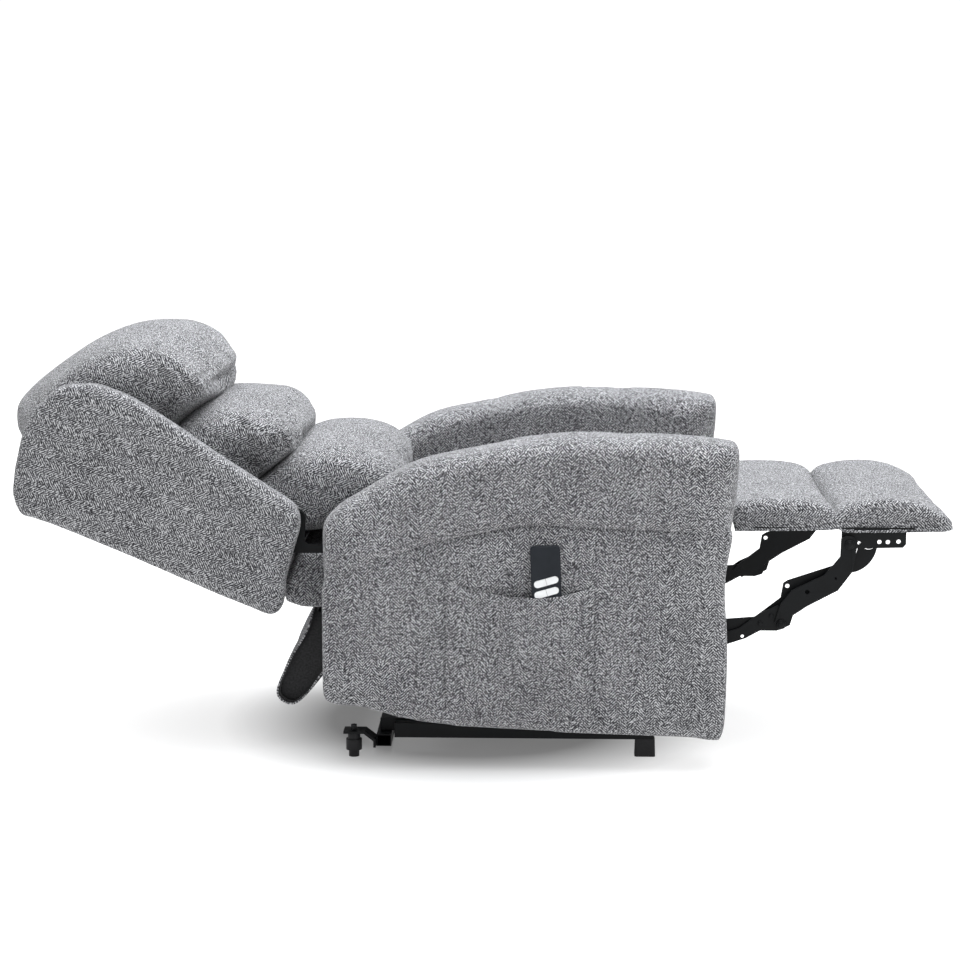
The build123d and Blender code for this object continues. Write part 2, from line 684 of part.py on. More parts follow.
FLAP_HALF = 246.0
FLAP_CLOTH = 3.0
rear_cross_face = REAR_CROSS[0] + CROSS / 2
with BuildPart() as rear_flap:
    with BuildSketch(Plane.YZ.offset(-FLAP_HALF)):
        with BuildLine():
            Spline(
                (rear_cross_face + FLAP_CLOTH, 214),
                (306, 182),
                (358, 118),
                (388, 100),
                (411, 122),
                (388, 178),
                (352, 240),
                (340, 282),
            )
        trace(line_width=FLAP_CLOTH)
    extrude(amount=2 * FLAP_HALF)
save(rear_flap, "rear_flap")

# ---------------------------------------------------------------- backrest
BACK_BOARD = 16.0
FRAME_N = (20.0, 48.0)
CORE_N = (50.0, 140.0)
FRAME_LAYER = (242.0, HINGE_PLATE_LAYER[0])
BACK_BODY_HALF = 262.0


def on_back(u, n):
    """A point (Y, Z) from its distance along the back and away from its rear face."""
    angle = radians(BACK_ANGLE)
    return (
        BACK_FOOT[0] + u * cos(angle) - n * sin(angle),
        BACK_FOOT[1] + u * sin(angle) + n * cos(angle),
    )


with BuildPart() as back_outer_panel:
    with BuildSketch(BACK_PLANE):
        with Locations((0, BACK_LENGTH / 2 + 6)):
            Rectangle(2 * (WING_INNER - 1), BACK_LENGTH - 12)
    extrude(amount=BACK_BOARD)
save(back_outer_panel, "back_outer_panel")

with BuildPart() as back_frame_rails:
    for side_name, side in SIDES:
        with BuildSketch(BACK_PLANE.offset(FRAME_N[0])):
            with Locations((side * sum(FRAME_LAYER) / 2, 262)):
                Rectangle(thickness(FRAME_LAYER), 500)
        extrude(amount=thickness(FRAME_N))
        # the hinge plate outside the rail, reaching up to the recline pin
        with BuildSketch(side_plane(side, HINGE_PLATE_LAYER)):
            with BuildLine():
                Polyline(
                    (RECLINE[0] - 20, RECLINE[1]),
                    on_back(14, FRAME_N[0]),
                    on_back(130, FRAME_N[0]),
                    on_back(130, FRAME_N[1]),
                    on_back(70, 110),
                    (RECLINE[0] + 20, RECLINE[1]),
                    close=True,
                )
            make_face()
            with Locations(RECLINE):
                Circle(20)
                Circle(PIN_R, mode=Mode.SUBTRACT)
        extrude(amount=thickness(HINGE_PLATE_LAYER))
save(back_frame_rails, "back_frame_rails")

with BuildPart() as recline_pins:
    for side_name, side in SIDES:
        with BuildSketch(side_plane(side, (HINGE_PLATE_LAYER[0], RECLINE_LAYER[1]))):
            with Locations(RECLINE):
                Circle(PIN_R)
        extrude(amount=RECLINE_LAYER[1] - HINGE_PLATE_LAYER[0])
save(recline_pins, "recline_pins")

with BuildPart() as back_cross_tubes:
    for tube_u in (42, 482):
        with BuildSketch(BACK_PLANE.offset(FRAME_N[0])):
            with Locations((0, tube_u)):
                Rectangle(2 * FRAME_LAYER[0], 25)
        extrude(amount=thickness(FRAME_N))
save(back_cross_tubes, "back_cross_tubes")

with BuildPart() as back_core_pad:
    with BuildSketch(BACK_PLANE.offset(CORE_N[0])):
        with Locations((0, 268)):
            Rectangle(2 * BACK_BODY_HALF, 500)
    extrude(amount=thickness(CORE_N))
save(back_core_pad, "back_core_pad")

BLOCK_NOTCH_REAR = 322.0
BLOCK_NOTCH_HALF = 36.0
with BuildPart() as lower_back_panel:
    with BuildSketch(Plane.YZ.offset(-BACK_BODY_HALF)):
        with BuildLine():
            Polyline((307, 411), (307, 289), (364, 291), (398, 302), (402, 330), (366, 411), close=True)
        make_face()
    extrude(amount=2 * BACK_BODY_HALF)
    # a notch that the crank and the motor's rod stand in
    with Locations((0, BLOCK_NOTCH_REAR, 350)):
        Box(
            2 * BLOCK_NOTCH_HALF,
            30,
            140,
            align=(Align.CENTER, Align.MAX, Align.CENTER),
            mode=Mode.SUBTRACT,
        )
save(lower_back_panel, "lower_back_panel")

with BuildPart() as back_crank:
    with BuildSketch(Plane.XZ.offset(-321)):
        with Locations((0, BACK_CRANK_END[1])):
            RectangleRounded(60, 70, 6)
    extrude(amount=4)
    with BuildSketch(Plane.YZ.offset(-4)):
        bar(BACK_CRANK_END, (318, BACK_CRANK_END[1]), 12)
        with Locations(BACK_CRANK_END):
            Circle(PIN_R, mode=Mode.SUBTRACT)
        with Locations((330, BACK_CRANK_END[1])):
            Rectangle(18, 30, mode=Mode.SUBTRACT)
    extrude(amount=8)
save(back_crank, "back_crank")

for side_name, side in SIDES:
    with BuildPart() as back_wing:
        wing_layer = (WING_INNER, WING_OUTER)
        with BuildSketch(side_plane(side, wing_layer)):
            with BuildLine():
                Spline((361, 505), (433, 563), (517, 618), (643, 703), (728, 746), (800, 753))
                Spline((800, 753), (861, 724), (898, 672))
                Polyline((898, 672), (926, 539), (905, 498), (445, 306), (411, 298), (391, 335))
                Polyline((391, 335), (387, 376), (358, 480), (361, 505))
            make_face()
        extrude(amount=thickness(wing_layer))
        fillet(back_wing.edges().filter_by(Axis.X).group_by(Axis.Y)[-1], 12)
    save(back_wing, f"back_wing_{side_name}")

# ---------------------------------------------------------------- pillows
PILLOWS = {
    "lumbar_pillow": (
        262.0,
        [(367, 437), (250, 446), (185, 490), (157, 556)],
        [(157, 556), (197, 612), (296, 637), (372, 612)],
        [(372, 612), (490, 508), on_back(140, CORE_N[1] + 2)],
    ),
    "middle_pillow": (
        266.0,
        [on_back(154, CORE_N[1] + 2), (498, 514), (379, 617)],
        [(379, 617), (370, 660), (421, 701), (545, 707)],
        [(545, 707), (617, 662), (655, 600), on_back(330, CORE_N[1] + 2)],
    ),
    "headrest_pillow": (
        276.0,
        [on_back(338, CORE_N[1] + 2), (662, 604), (624, 670), (549, 718), (530, 770)],
        [(530, 770), (600, 834), (681, 848), (833, 797), (977, 638)],
        [(977, 638), (930, 582), on_back(525, 54), on_back(525, CORE_N[1] + 2)],
    ),
}
for pillow_name, (half, lower_side, crown, upper_side) in PILLOWS.items():
    with BuildPart() as pillow:
        with BuildSketch(Plane.YZ.offset(-half)):
            with BuildLine():
                Polyline(*lower_side)
                Spline(*crown)
                Polyline(*upper_side)
                Line(upper_side[-1], lower_side[0])
            make_face()
        extrude(amount=2 * half)
    save(pillow, pillow_name)


# ---------------------------------------------------------------- footrest links
def stud(side, pivot, start, end, head=0.0):
    """A round rivet along X, with an optional wider head beyond its outer end."""
    with Locations((side * (start + end) / 2, *pivot)):
        Cylinder(PIN_R, end - start, rotation=(0, 90, 0))
    if head:
        with Locations((side * (end + head / 2), *pivot)):
            Cylinder(PIN_R + 3, head, rotation=(0, 90, 0))


with BuildPart() as footrest_shaft:
    with BuildSketch(Plane.YZ.offset(-LOWER_LAYER[0])):
        with Locations(LOWER_BASE):
            Circle(TORQUE_R)
            Circle(TORQUE_R - 2.5, mode=Mode.SUBTRACT)
    extrude(amount=2 * LOWER_LAYER[0])
save(footrest_shaft, "footrest_shaft")

for side_name, side in SIDES:
    with BuildPart() as lower_link:
        with BuildSketch(side_plane(side, LOWER_LAYER)):
            with BuildLine():
                Polyline(
                    (-345, 186),
                    (-345, 206),
                    (-515, 262),
                    (-554, 291),
                    (-592, 309),
                    (-614, 280),
                    (-606, 262),
                    (-590, 257),
                    (-557, 257),
                    (-528, 241),
                    (-366, 186),
                    close=True,
                )
            make_face()
            with Locations((-522, 245)):
                Circle(3.5, mode=Mode.SUBTRACT)
        extrude(amount=thickness(LOWER_LAYER))
        stud(side, LOWER_END, LOWER_LAYER[1], LONG_LAYER[1] + 0.5, head=2.0)
        for rivet in ((-579, 288), (-557, 272)):
            with BuildSketch(side_plane(side, (LOWER_LAYER[1], LOWER_LAYER[1] + 1.4))):
                with Locations(rivet):
                    Circle(5)
            extrude(amount=1.4)
    save(lower_link, f"lower_link_{side_name}")

    with BuildPart() as upper_link:
        with BuildSketch(side_plane(side, UPPER_LAYER)):
            bar(UPPER_BASE, UPPER_END, LINK_HALF)
            with Locations(UPPER_BASE):
                Circle(PIN_R + RUNNING, mode=Mode.SUBTRACT)
        extrude(amount=thickness(UPPER_LAYER))
        stud(side, UPPER_END, HOOK_LAYER[0] - 1.0, UPPER_LAYER[0])
    save(upper_link, f"upper_link_{side_name}")

    with BuildPart() as long_link:
        with BuildSketch(side_plane(side, LONG_LAYER)):
            with BuildLine():
                Polyline(
                    (-714, 446),
                    (-713, 410),
                    (-698, 391),
                    (-681, 372),
                    (-618, 341),
                    (-596, 312),
                    (-585, 274),
                    (-596, 260),
                    (-616, 270),
                    (-622, 290),
                    (-650, 309),
                    (-710, 341),
                    (-737, 378),
                    (-747, 436),
                    (-738, 450),
                    (-724, 452),
                    close=True,
                )
            make_face()
            with Locations(LOWER_END, LONG_END):
                Circle(PIN_R + RUNNING, mode=Mode.SUBTRACT)
            with Locations((-649, 338)):
                Circle(4.5, mode=Mode.SUBTRACT)
            with Locations((-705, 366)):
                Circle(2.5, mode=Mode.SUBTRACT)
        extrude(amount=thickness(LONG_LAYER))
    save(long_link, f"long_link_{side_name}")

    with BuildPart() as hook_link:
        with BuildSketch(side_plane(side, HOOK_LAYER)):
            with BuildLine():
                Polyline(
                    (-540, 272),
                    (-552, 286),
                    (-598, 322),
                    (-603, 352),
                    (-612, 358),
                    (-701, 388),
                    (-728, 400),
                    (-747, 414),
                    (-754, 438),
                )
                RadiusArc((-754, 438), (-788, 438), 17)
                Spline((-788, 438), (-784, 412), (-765, 386), (-736, 374))
                Polyline((-736, 374), (-706, 352), (-640, 318), (-606, 282), (-560, 257), (-540, 272))
            make_face()
            with Locations(UPPER_END):
                Circle(PIN_R + RUNNING, mode=Mode.SUBTRACT)
            with Locations(HOOK_END):
                Circle(PIN_R + HOOK_CLEARANCE, mode=Mode.SUBTRACT)
            with Locations((-611, 346)):
                Circle(4.5, mode=Mode.SUBTRACT)
        extrude(amount=thickness(HOOK_LAYER))
    save(hook_link, f"hook_link_{side_name}")

# ---------------------------------------------------------------- footrest
BRACKET_BOTTOM = 427.0
BRACKET_TOP = 464.0
FLANGE_TOP = 467.0
BOARD_TOP = 477.0
for side_name, side in SIDES:
    with BuildPart() as footrest_bracket:
        with BuildSketch(side_plane(side, BRACKET_LAYER)):
            with BuildLine():
                Polyline(
                    (-716, FLANGE_TOP),
                    (-716, BRACKET_BOTTOM - 3),
                    (-838, BRACKET_BOTTOM),
                    (-844, BRACKET_BOTTOM + 7),
                    (-844, FLANGE_TOP),
                    close=True,
                )
            make_face()
            with Locations((-791, 438), (-808, 438), (-829, 439)):
                Circle(4.5, mode=Mode.SUBTRACT)
            with Locations((-751, 436)):
                Circle(3.5, mode=Mode.SUBTRACT)
        extrude(amount=thickness(BRACKET_LAYER))
        with BuildSketch(Plane.XY.offset(BRACKET_TOP)):
            with Locations((side * 252.5, -700)):
                Rectangle(26, 320)
        extrude(amount=FLANGE_TOP - BRACKET_TOP)
        stud(side, LONG_END, BRACKET_LAYER[1], LONG_LAYER[1] + 0.5, head=2.0)
        stud(side, HOOK_END, HOOK_LAYER[0], BRACKET_LAYER[0])
    save(footrest_bracket, f"footrest_bracket_{side_name}")

CREASE = -706.0
with BuildPart() as footrest_boards:
    for board_front, board_rear in ((-905, CREASE - 12), (CREASE + 12, -520)):
        with BuildSketch(Plane.XY.offset(FLANGE_TOP)):
            with Locations((0, (board_front + board_rear) / 2)):
                Rectangle(500, board_rear - board_front)
        extrude(amount=BOARD_TOP - FLANGE_TOP)
save(footrest_boards, "footrest_boards")

PAD_BOTTOM = BOARD_TOP + 1
with BuildPart() as calf_pad:
    with BuildSketch(Plane.YZ.offset(-FOOT_HALF)):
        with BuildLine():
            Polyline((-506, PAD_BOTTOM), (CREASE + 3, PAD_BOTTOM), (CREASE + 3, 518))
            Spline((CREASE + 3, 518), (-660, 537), (-580, 540), (-506, 534))
            Line((-506, 534), (-506, PAD_BOTTOM))
        make_face()
    extrude(amount=2 * FOOT_HALF)
save(calf_pad, "calf_pad")

with BuildPart() as foot_pad:
    with BuildSketch(Plane.YZ.offset(-FOOT_HALF)):
        with BuildLine():
            Polyline((CREASE - 3, 518), (CREASE - 3, PAD_BOTTOM), (-925, PAD_BOTTOM), (-912, 487))
            Spline((-912, 487), (-888, 506), (-857, 528), (-800, 541), (CREASE - 3, 518))
        make_face()
    extrude(amount=2 * FOOT_HALF)
save(foot_pad, "foot_pad")
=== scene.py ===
"""Looks of the lift recliner chair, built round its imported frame.

Metres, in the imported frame: +Z is up, the footrest points to -Y and the sitter's right is -X.
Side outlines are drawn in millimetres as (Y, Z), from the datum that the CAD model uses too.
"""
import json
from math import atan2, cos, degrees, pi, radians, sin

import bmesh
import bpy
import numpy as np
from mathutils import Matrix, Vector


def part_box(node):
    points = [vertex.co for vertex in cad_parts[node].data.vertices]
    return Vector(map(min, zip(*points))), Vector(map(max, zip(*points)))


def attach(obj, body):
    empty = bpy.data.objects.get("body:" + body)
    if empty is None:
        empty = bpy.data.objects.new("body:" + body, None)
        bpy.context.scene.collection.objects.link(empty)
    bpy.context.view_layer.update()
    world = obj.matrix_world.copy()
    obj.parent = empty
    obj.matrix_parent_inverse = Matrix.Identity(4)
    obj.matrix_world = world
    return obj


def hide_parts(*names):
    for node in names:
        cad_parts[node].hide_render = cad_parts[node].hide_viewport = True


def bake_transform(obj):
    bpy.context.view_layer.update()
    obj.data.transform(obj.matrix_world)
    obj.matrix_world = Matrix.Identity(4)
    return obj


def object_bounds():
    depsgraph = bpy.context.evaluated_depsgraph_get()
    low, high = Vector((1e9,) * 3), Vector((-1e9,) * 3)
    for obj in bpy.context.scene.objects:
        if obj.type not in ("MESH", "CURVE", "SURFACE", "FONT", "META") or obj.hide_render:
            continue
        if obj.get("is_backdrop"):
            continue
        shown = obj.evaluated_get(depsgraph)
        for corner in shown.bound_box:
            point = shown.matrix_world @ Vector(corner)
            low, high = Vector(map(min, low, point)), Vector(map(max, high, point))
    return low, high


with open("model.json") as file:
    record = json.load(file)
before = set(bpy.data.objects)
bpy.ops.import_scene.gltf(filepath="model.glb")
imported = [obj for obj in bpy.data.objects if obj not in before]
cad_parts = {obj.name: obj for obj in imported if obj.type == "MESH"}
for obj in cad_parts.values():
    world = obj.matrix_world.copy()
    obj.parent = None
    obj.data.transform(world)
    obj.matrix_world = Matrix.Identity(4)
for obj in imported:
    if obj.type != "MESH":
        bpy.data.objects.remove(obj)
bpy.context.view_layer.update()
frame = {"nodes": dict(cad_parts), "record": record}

MM = 0.001
MIDDLE_Y = 26.0  # from the drawing datum to the frame's origin, along Y
SIDES = (("right", -1), ("left", 1))
WEAVE = "weave"  # the UV map that holds each piece's cloth coordinates, in metres


# ---------------------------------------------------------------- outlines
def through(*points, steps=6):
    """Points of a smooth open curve through the given ones."""
    given = np.array(points, float)
    ends = np.vstack([2 * given[0] - given[1], given, 2 * given[-1] - given[-2]])
    found = []
    for a, b, c, d in zip(ends, ends[1:], ends[2:], ends[3:]):
        for t in np.linspace(0, 1, steps, endpoint=False):
            found.append(
                0.5 * (2 * b + (c - a) * t + (2 * a - 5 * b + 4 * c - d) * t**2
                       + (3 * b - a - 3 * c + d) * t**3)
            )
    found.append(given[-1])
    return [tuple(p) for p in found]


def closed(*runs):
    """One closed outline from several runs of points, without doubled points, at an even spacing."""
    ring = []
    for run in runs:
        for point in run:
            if not ring or np.hypot(*np.subtract(point, ring[-1])) > 0.5:
                ring.append(tuple(point))
    if np.hypot(*np.subtract(ring[0], ring[-1])) < 0.5:
        ring.pop()
    return evenly(np.array(ring), 7.0)


def evenly(ring, gap):
    """The closed ring with its long sides divided so that no side is longer than gap."""
    found = []
    for a, b in zip(ring, np.roll(ring, -1, 0)):
        count = max(1, int(np.ceil(np.hypot(*(b - a)) / gap)))
        found.extend(a + (b - a) * k / count for k in range(count))
    return np.array(found)


def inward(ring):
    """Unit vectors that point into the closed ring at each of its points."""
    along = np.roll(ring, -2, 0) - np.roll(ring, 2, 0)
    normal = np.column_stack([-along[:, 1], along[:, 0]])
    normal /= np.linalg.norm(normal, axis=1)[:, None] + 1e-9
    y, z = ring.T
    area = (y * np.roll(z, -1) - np.roll(y, -1) * z).sum()
    return normal * np.sign(area)


def points_of(ring_or_line, x):
    """A drawn line in the plane at x, as points of the frame in metres."""
    line = np.array(ring_or_line, float)
    return np.column_stack([np.full(len(line), x), line[:, 0] - MIDDLE_Y, line[:, 1]]) * MM


# ---------------------------------------------------------------- mesh helpers
def new_object(name, mesh):
    piece = bpy.data.objects.new(name, mesh)
    bpy.context.scene.collection.objects.link(piece)
    return piece


def mesh_from(name, points, faces):
    mesh = bpy.data.meshes.new(name)
    mesh.from_pydata([tuple(p) for p in points], [], faces)
    mesh.validate()
    mesh.update()
    return mesh


def get_points(mesh):
    flat = np.zeros(len(mesh.vertices) * 3, np.float32)
    mesh.vertices.foreach_get("co", flat)
    return flat.reshape(-1, 3).astype(float)


def set_points(mesh, points):
    mesh.vertices.foreach_set("co", points.astype(np.float32).ravel())
    mesh.update()


def get_normals(mesh):
    flat = np.zeros(len(mesh.vertices) * 3, np.float32)
    mesh.vertex_normals.foreach_get("vector", flat)
    return flat.reshape(-1, 3).astype(float)


def grid_faces(columns, rows):
    """The quads of a grid with so many points in each of its columns."""
    return [(a, a + 1, a + rows + 1, a + rows)
            for a in (i * rows + j for i in range(columns) for j in range(rows - 1))]


def woven_mesh(name, points, faces, cloth):
    """A mesh with its cloth coordinates, one pair for each point."""
    mesh = mesh_from(name, points, faces)
    layer = mesh.uv_layers.new(name=WEAVE)
    for loop in mesh.loops:
        layer.data[loop.index].uv = cloth[loop.vertex_index]
    return mesh


def face_outwards(mesh):
    work = bmesh.new()
    work.from_mesh(mesh)
    bmesh.ops.recalc_face_normals(work, faces=work.faces)
    work.to_mesh(mesh)
    work.free()


def bake_modifiers(piece):
    """The piece's modifiers become part of its mesh."""
    graph = bpy.context.evaluated_depsgraph_get()
    finished = bpy.data.meshes.new_from_object(piece.evaluated_get(graph))
    piece.modifiers.clear()
    old = piece.data
    piece.data = finished
    bpy.data.meshes.remove(old)


def smooth_shade(mesh):
    mesh.polygons.foreach_set("use_smooth", [True] * len(mesh.polygons))


def add_modifier(piece, kind, **values):
    modifier = piece.modifiers.new(kind.title(), kind)
    for key, value in values.items():
        setattr(modifier, key, value)
    return modifier


def distance_to(points, line):
    """Each point's distance to a polyline, and how far along the line its nearest point is."""
    best = np.full(len(points), 1e9)
    where = np.zeros(len(points))
    run = 0.0
    for a, b in zip(line, line[1:]):
        side = b - a
        length = np.linalg.norm(side)
        if length < 1e-9:
            continue
        share = np.clip((points - a) @ side / length**2, 0, 1)
        gap = np.linalg.norm(points - a - share[:, None] * side, axis=1)
        nearer = gap < best
        best[nearer] = gap[nearer]
        where[nearer] = run + share[nearer] * length
        run += length
    return best, where


# ---------------------------------------------------------------- stuffed pieces
FULL_SIZE = {}  # the box that each stuffed piece fills once it is finished


def loft(name, ring, x_low, x_high, round_over, start_smaller=5.0, sag=0.0, ease=None):
    """A closed body along X. Its outline draws in towards both ends as a quarter round, and by sag more."""
    ring = np.array(ring)
    into = inward(ring) * (np.ones(len(ring)) if ease is None else ease(ring))[:, None]
    base = ring + inward(ring) * start_smaller
    middle, half = (x_low + x_high) / 2, (x_high - x_low) / 2 - start_smaller
    corner = [radians(a) for a in range(0, 91, 15)]
    near_end = [(half - round_over * (1 - cos(a)), round_over * (1 - sin(a))) for a in corner]
    flat = np.linspace(half - round_over, 0, 6, endpoint=False)[1:]
    stations = near_end + [(x, 0.0) for x in flat]
    stations = [(-x, d) for x, d in stations] + [(0.0, 0.0)] + [(x, d) for x, d in reversed(stations)]
    points, faces, count = [], [], len(ring)
    for x, draw_in in stations:
        section = base + into * (draw_in + sag * (x / half) ** 2)
        points.extend(points_of(section, middle + x))
    for k in range(len(stations) - 1):
        for i in range(count):
            j = (i + 1) % count
            faces.append((k * count + i, k * count + j, (k + 1) * count + j, (k + 1) * count + i))
    faces.append(tuple(range(count))[::-1])
    faces.append(tuple(range((len(stations) - 1) * count, len(stations) * count)))
    mesh = mesh_from(name, points, faces)
    face_outwards(mesh)
    low, high = ring.min(0), ring.max(0)
    FULL_SIZE[name] = (np.array([x_low, low[0] - MIDDLE_Y, low[1]]) * MM,
                       np.array([x_high, high[0] - MIDDLE_Y, high[1]]) * MM)
    return new_object(name, mesh)


SWELLING = []  # the pieces that wait for the one cloth simulation


def stuff(piece, voxel, pressure, cap, pinned=None, slack=0.0):
    """Gets a closed body ready for the cloth simulation that swells it by air pressure."""
    add_modifier(piece, "REMESH", mode="VOXEL", voxel_size=voxel * MM)
    add_modifier(piece, "SMOOTH", factor=0.5, iterations=4)
    bake_modifiers(piece)
    rest = get_points(piece.data)
    cloth = piece.modifiers.new("Cloth", "CLOTH")
    settings = cloth.settings
    settings.quality = 4
    settings.mass = 0.25
    settings.tension_stiffness = settings.compression_stiffness = 12
    settings.shear_stiffness = 6
    settings.bending_stiffness = 0.4
    settings.use_pressure = True
    settings.uniform_pressure_force = pressure
    settings.shrink_min = -slack
    settings.effector_weights.gravity = 0
    cloth.collision_settings.use_collision = False
    if pinned is not None:
        group = piece.vertex_groups.new(name="sewn")
        group.add([int(i) for i in np.nonzero(pinned(rest))[0]], 1.0, "REPLACE")
        settings.vertex_group_mass = "sewn"
    SWELLING.append((piece, rest, cap * MM))
    return piece


def swell_all():
    """Runs the simulation of every waiting piece at once and keeps its result in their meshes."""
    scene = bpy.context.scene
    for step in range(1, 21):
        scene.frame_set(step)
    graph = bpy.context.evaluated_depsgraph_get()
    for piece, rest, cap in SWELLING:
        swollen = get_points(piece.evaluated_get(graph).data)
        piece.modifiers.clear()
        move = swollen - rest
        length = np.linalg.norm(move, axis=1)[:, None] + 1e-9
        set_points(piece.data, rest + move * np.minimum(1, cap / length))
        piece.vertex_groups.clear()
        add_modifier(piece, "SMOOTH", factor=0.4, iterations=2)
        add_modifier(piece, "SUBSURF", levels=1, render_levels=1)
        bake_modifiers(piece)
        points = get_points(piece.data)
        low, high = points.min(0), points.max(0)
        full_low, full_high = FULL_SIZE[piece.name]
        set_points(piece.data, full_low + (points - low) * (full_high - full_low) / (high - low))
    scene.frame_set(1)


def crossing(spot, half):
    """A line along X through a spot of the drawing, half a width to each side of the middle."""
    return np.array([points_of([spot], -half)[0], points_of([spot], half)[0]])


def press(piece, line, width, depth):
    """A sewn groove along a line of points of the frame: the surface sinks where it is near."""
    points = get_points(piece.data)
    gap, _ = distance_to(points, np.array(line))
    sink = depth * MM * np.exp(-((gap / (width * MM)) ** 2))
    set_points(piece.data, points - get_normals(piece.data) * sink[:, None])


def gather(piece, line, reach, depth, pitch, seed):
    """Puckers that start at a sewn line and fade away from it, uneven in depth and spacing."""
    points = get_points(piece.data)
    gap, along = distance_to(points, np.array(line))
    draw = np.random.default_rng(seed)
    a, b, c = draw.uniform(0, 2 * pi, 3)
    phase = 2 * pi * along / (pitch * MM)
    wave = 0.5 * np.sin(phase + a) + 0.3 * np.sin(phase * 0.53 + b) + 0.2 * np.sin(phase * 1.71 + c)
    fade = np.exp(-gap / (reach * MM))
    set_points(piece.data, points + get_normals(piece.data) * (depth * MM * wave * fade)[:, None])


def pull(piece, spot, move, reach):
    """Draws the surface near a spot of the frame along move, all three in millimetres."""
    points = get_points(piece.data)
    gap = np.linalg.norm(points - np.array(spot) * MM, axis=1)
    share = np.exp(-((gap / (reach * MM)) ** 2))
    set_points(piece.data, points + np.array(move) * MM * share[:, None])


def lay_underside(piece, line, half, margin):
    """The underside lies on the drawn line, whose Y grow, and reaches out to the full half width."""
    points = get_points(piece.data)
    line = np.array(line)
    floor_z = np.interp(points[:, 1] / MM + MIDDLE_Y, line[:, 0], line[:, 1]) * MM
    under = points[:, 2] < floor_z + margin * MM
    points[under, 2] = floor_z[under]
    out = under & (np.abs(points[:, 0]) > (half - 1.6 * margin) * MM)
    points[out, 0] = np.sign(points[out, 0]) * half * MM
    set_points(piece.data, points)


def keep_within(piece, low=(None, None, None), high=(None, None, None)):
    """No point of the piece passes these limits, in metres."""
    points = get_points(piece.data)
    for axis in range(3):
        if low[axis] is not None:
            points[:, axis] = np.maximum(points[:, axis], low[axis])
        if high[axis] is not None:
            points[:, axis] = np.minimum(points[:, axis], high[axis])
    set_points(piece.data, points)


def lay_cloth(piece, ring, grain, band_along_x=False):
    """Writes cloth coordinates: the end faces take them along and across grain, the band round them
    takes X and the distance along the outline. grain is in degrees from +Y towards +Z."""
    mesh = piece.data
    points = get_points(mesh)
    outline = points_of(np.vstack([ring, ring[:1]]), 0.0)
    flat = points.copy()
    flat[:, 0] = 0
    _, along = distance_to(flat, outline)
    girth = np.linalg.norm(np.diff(outline, axis=0), axis=1).sum()
    corner_vertex = np.zeros(len(mesh.loops), np.int32)
    mesh.loops.foreach_get("vertex_index", corner_vertex)
    totals = np.zeros(len(mesh.polygons), np.int32)
    mesh.polygons.foreach_get("loop_total", totals)
    normals = np.zeros(len(mesh.polygons) * 3, np.float32)
    mesh.polygons.foreach_get("normal", normals)
    is_end = np.repeat(np.abs(normals.reshape(-1, 3)[:, 0]) > 0.72, totals)
    owner = np.repeat(np.arange(len(totals)), totals)
    s = along[corner_vertex]
    largest = np.zeros(len(totals))
    np.maximum.at(largest, owner, s)
    s = np.where(largest[owner] - s > girth / 2, s + girth, s)
    x, y, z = points[corner_vertex].T
    turn = radians(grain)
    across, lengthwise = y * sin(turn) - z * cos(turn), y * cos(turn) + z * sin(turn)
    band = (s, x) if band_along_x else (x, s)
    u = np.where(is_end, across, band[0])
    v = np.where(is_end, lengthwise, band[1])
    layer = mesh.uv_layers.get(WEAVE) or mesh.uv_layers.new(name=WEAVE)
    layer.data.foreach_set("uv", np.column_stack([u, v]).astype(np.float32).ravel())


def mirrored(piece, name):
    """The same piece on the other side of the middle plane."""
    mesh = piece.data.copy()
    mesh.transform(Matrix.Scale(-1, 4, (1, 0, 0)))
    mesh.flip_normals()
    mesh.name = name
    return new_object(name, mesh)


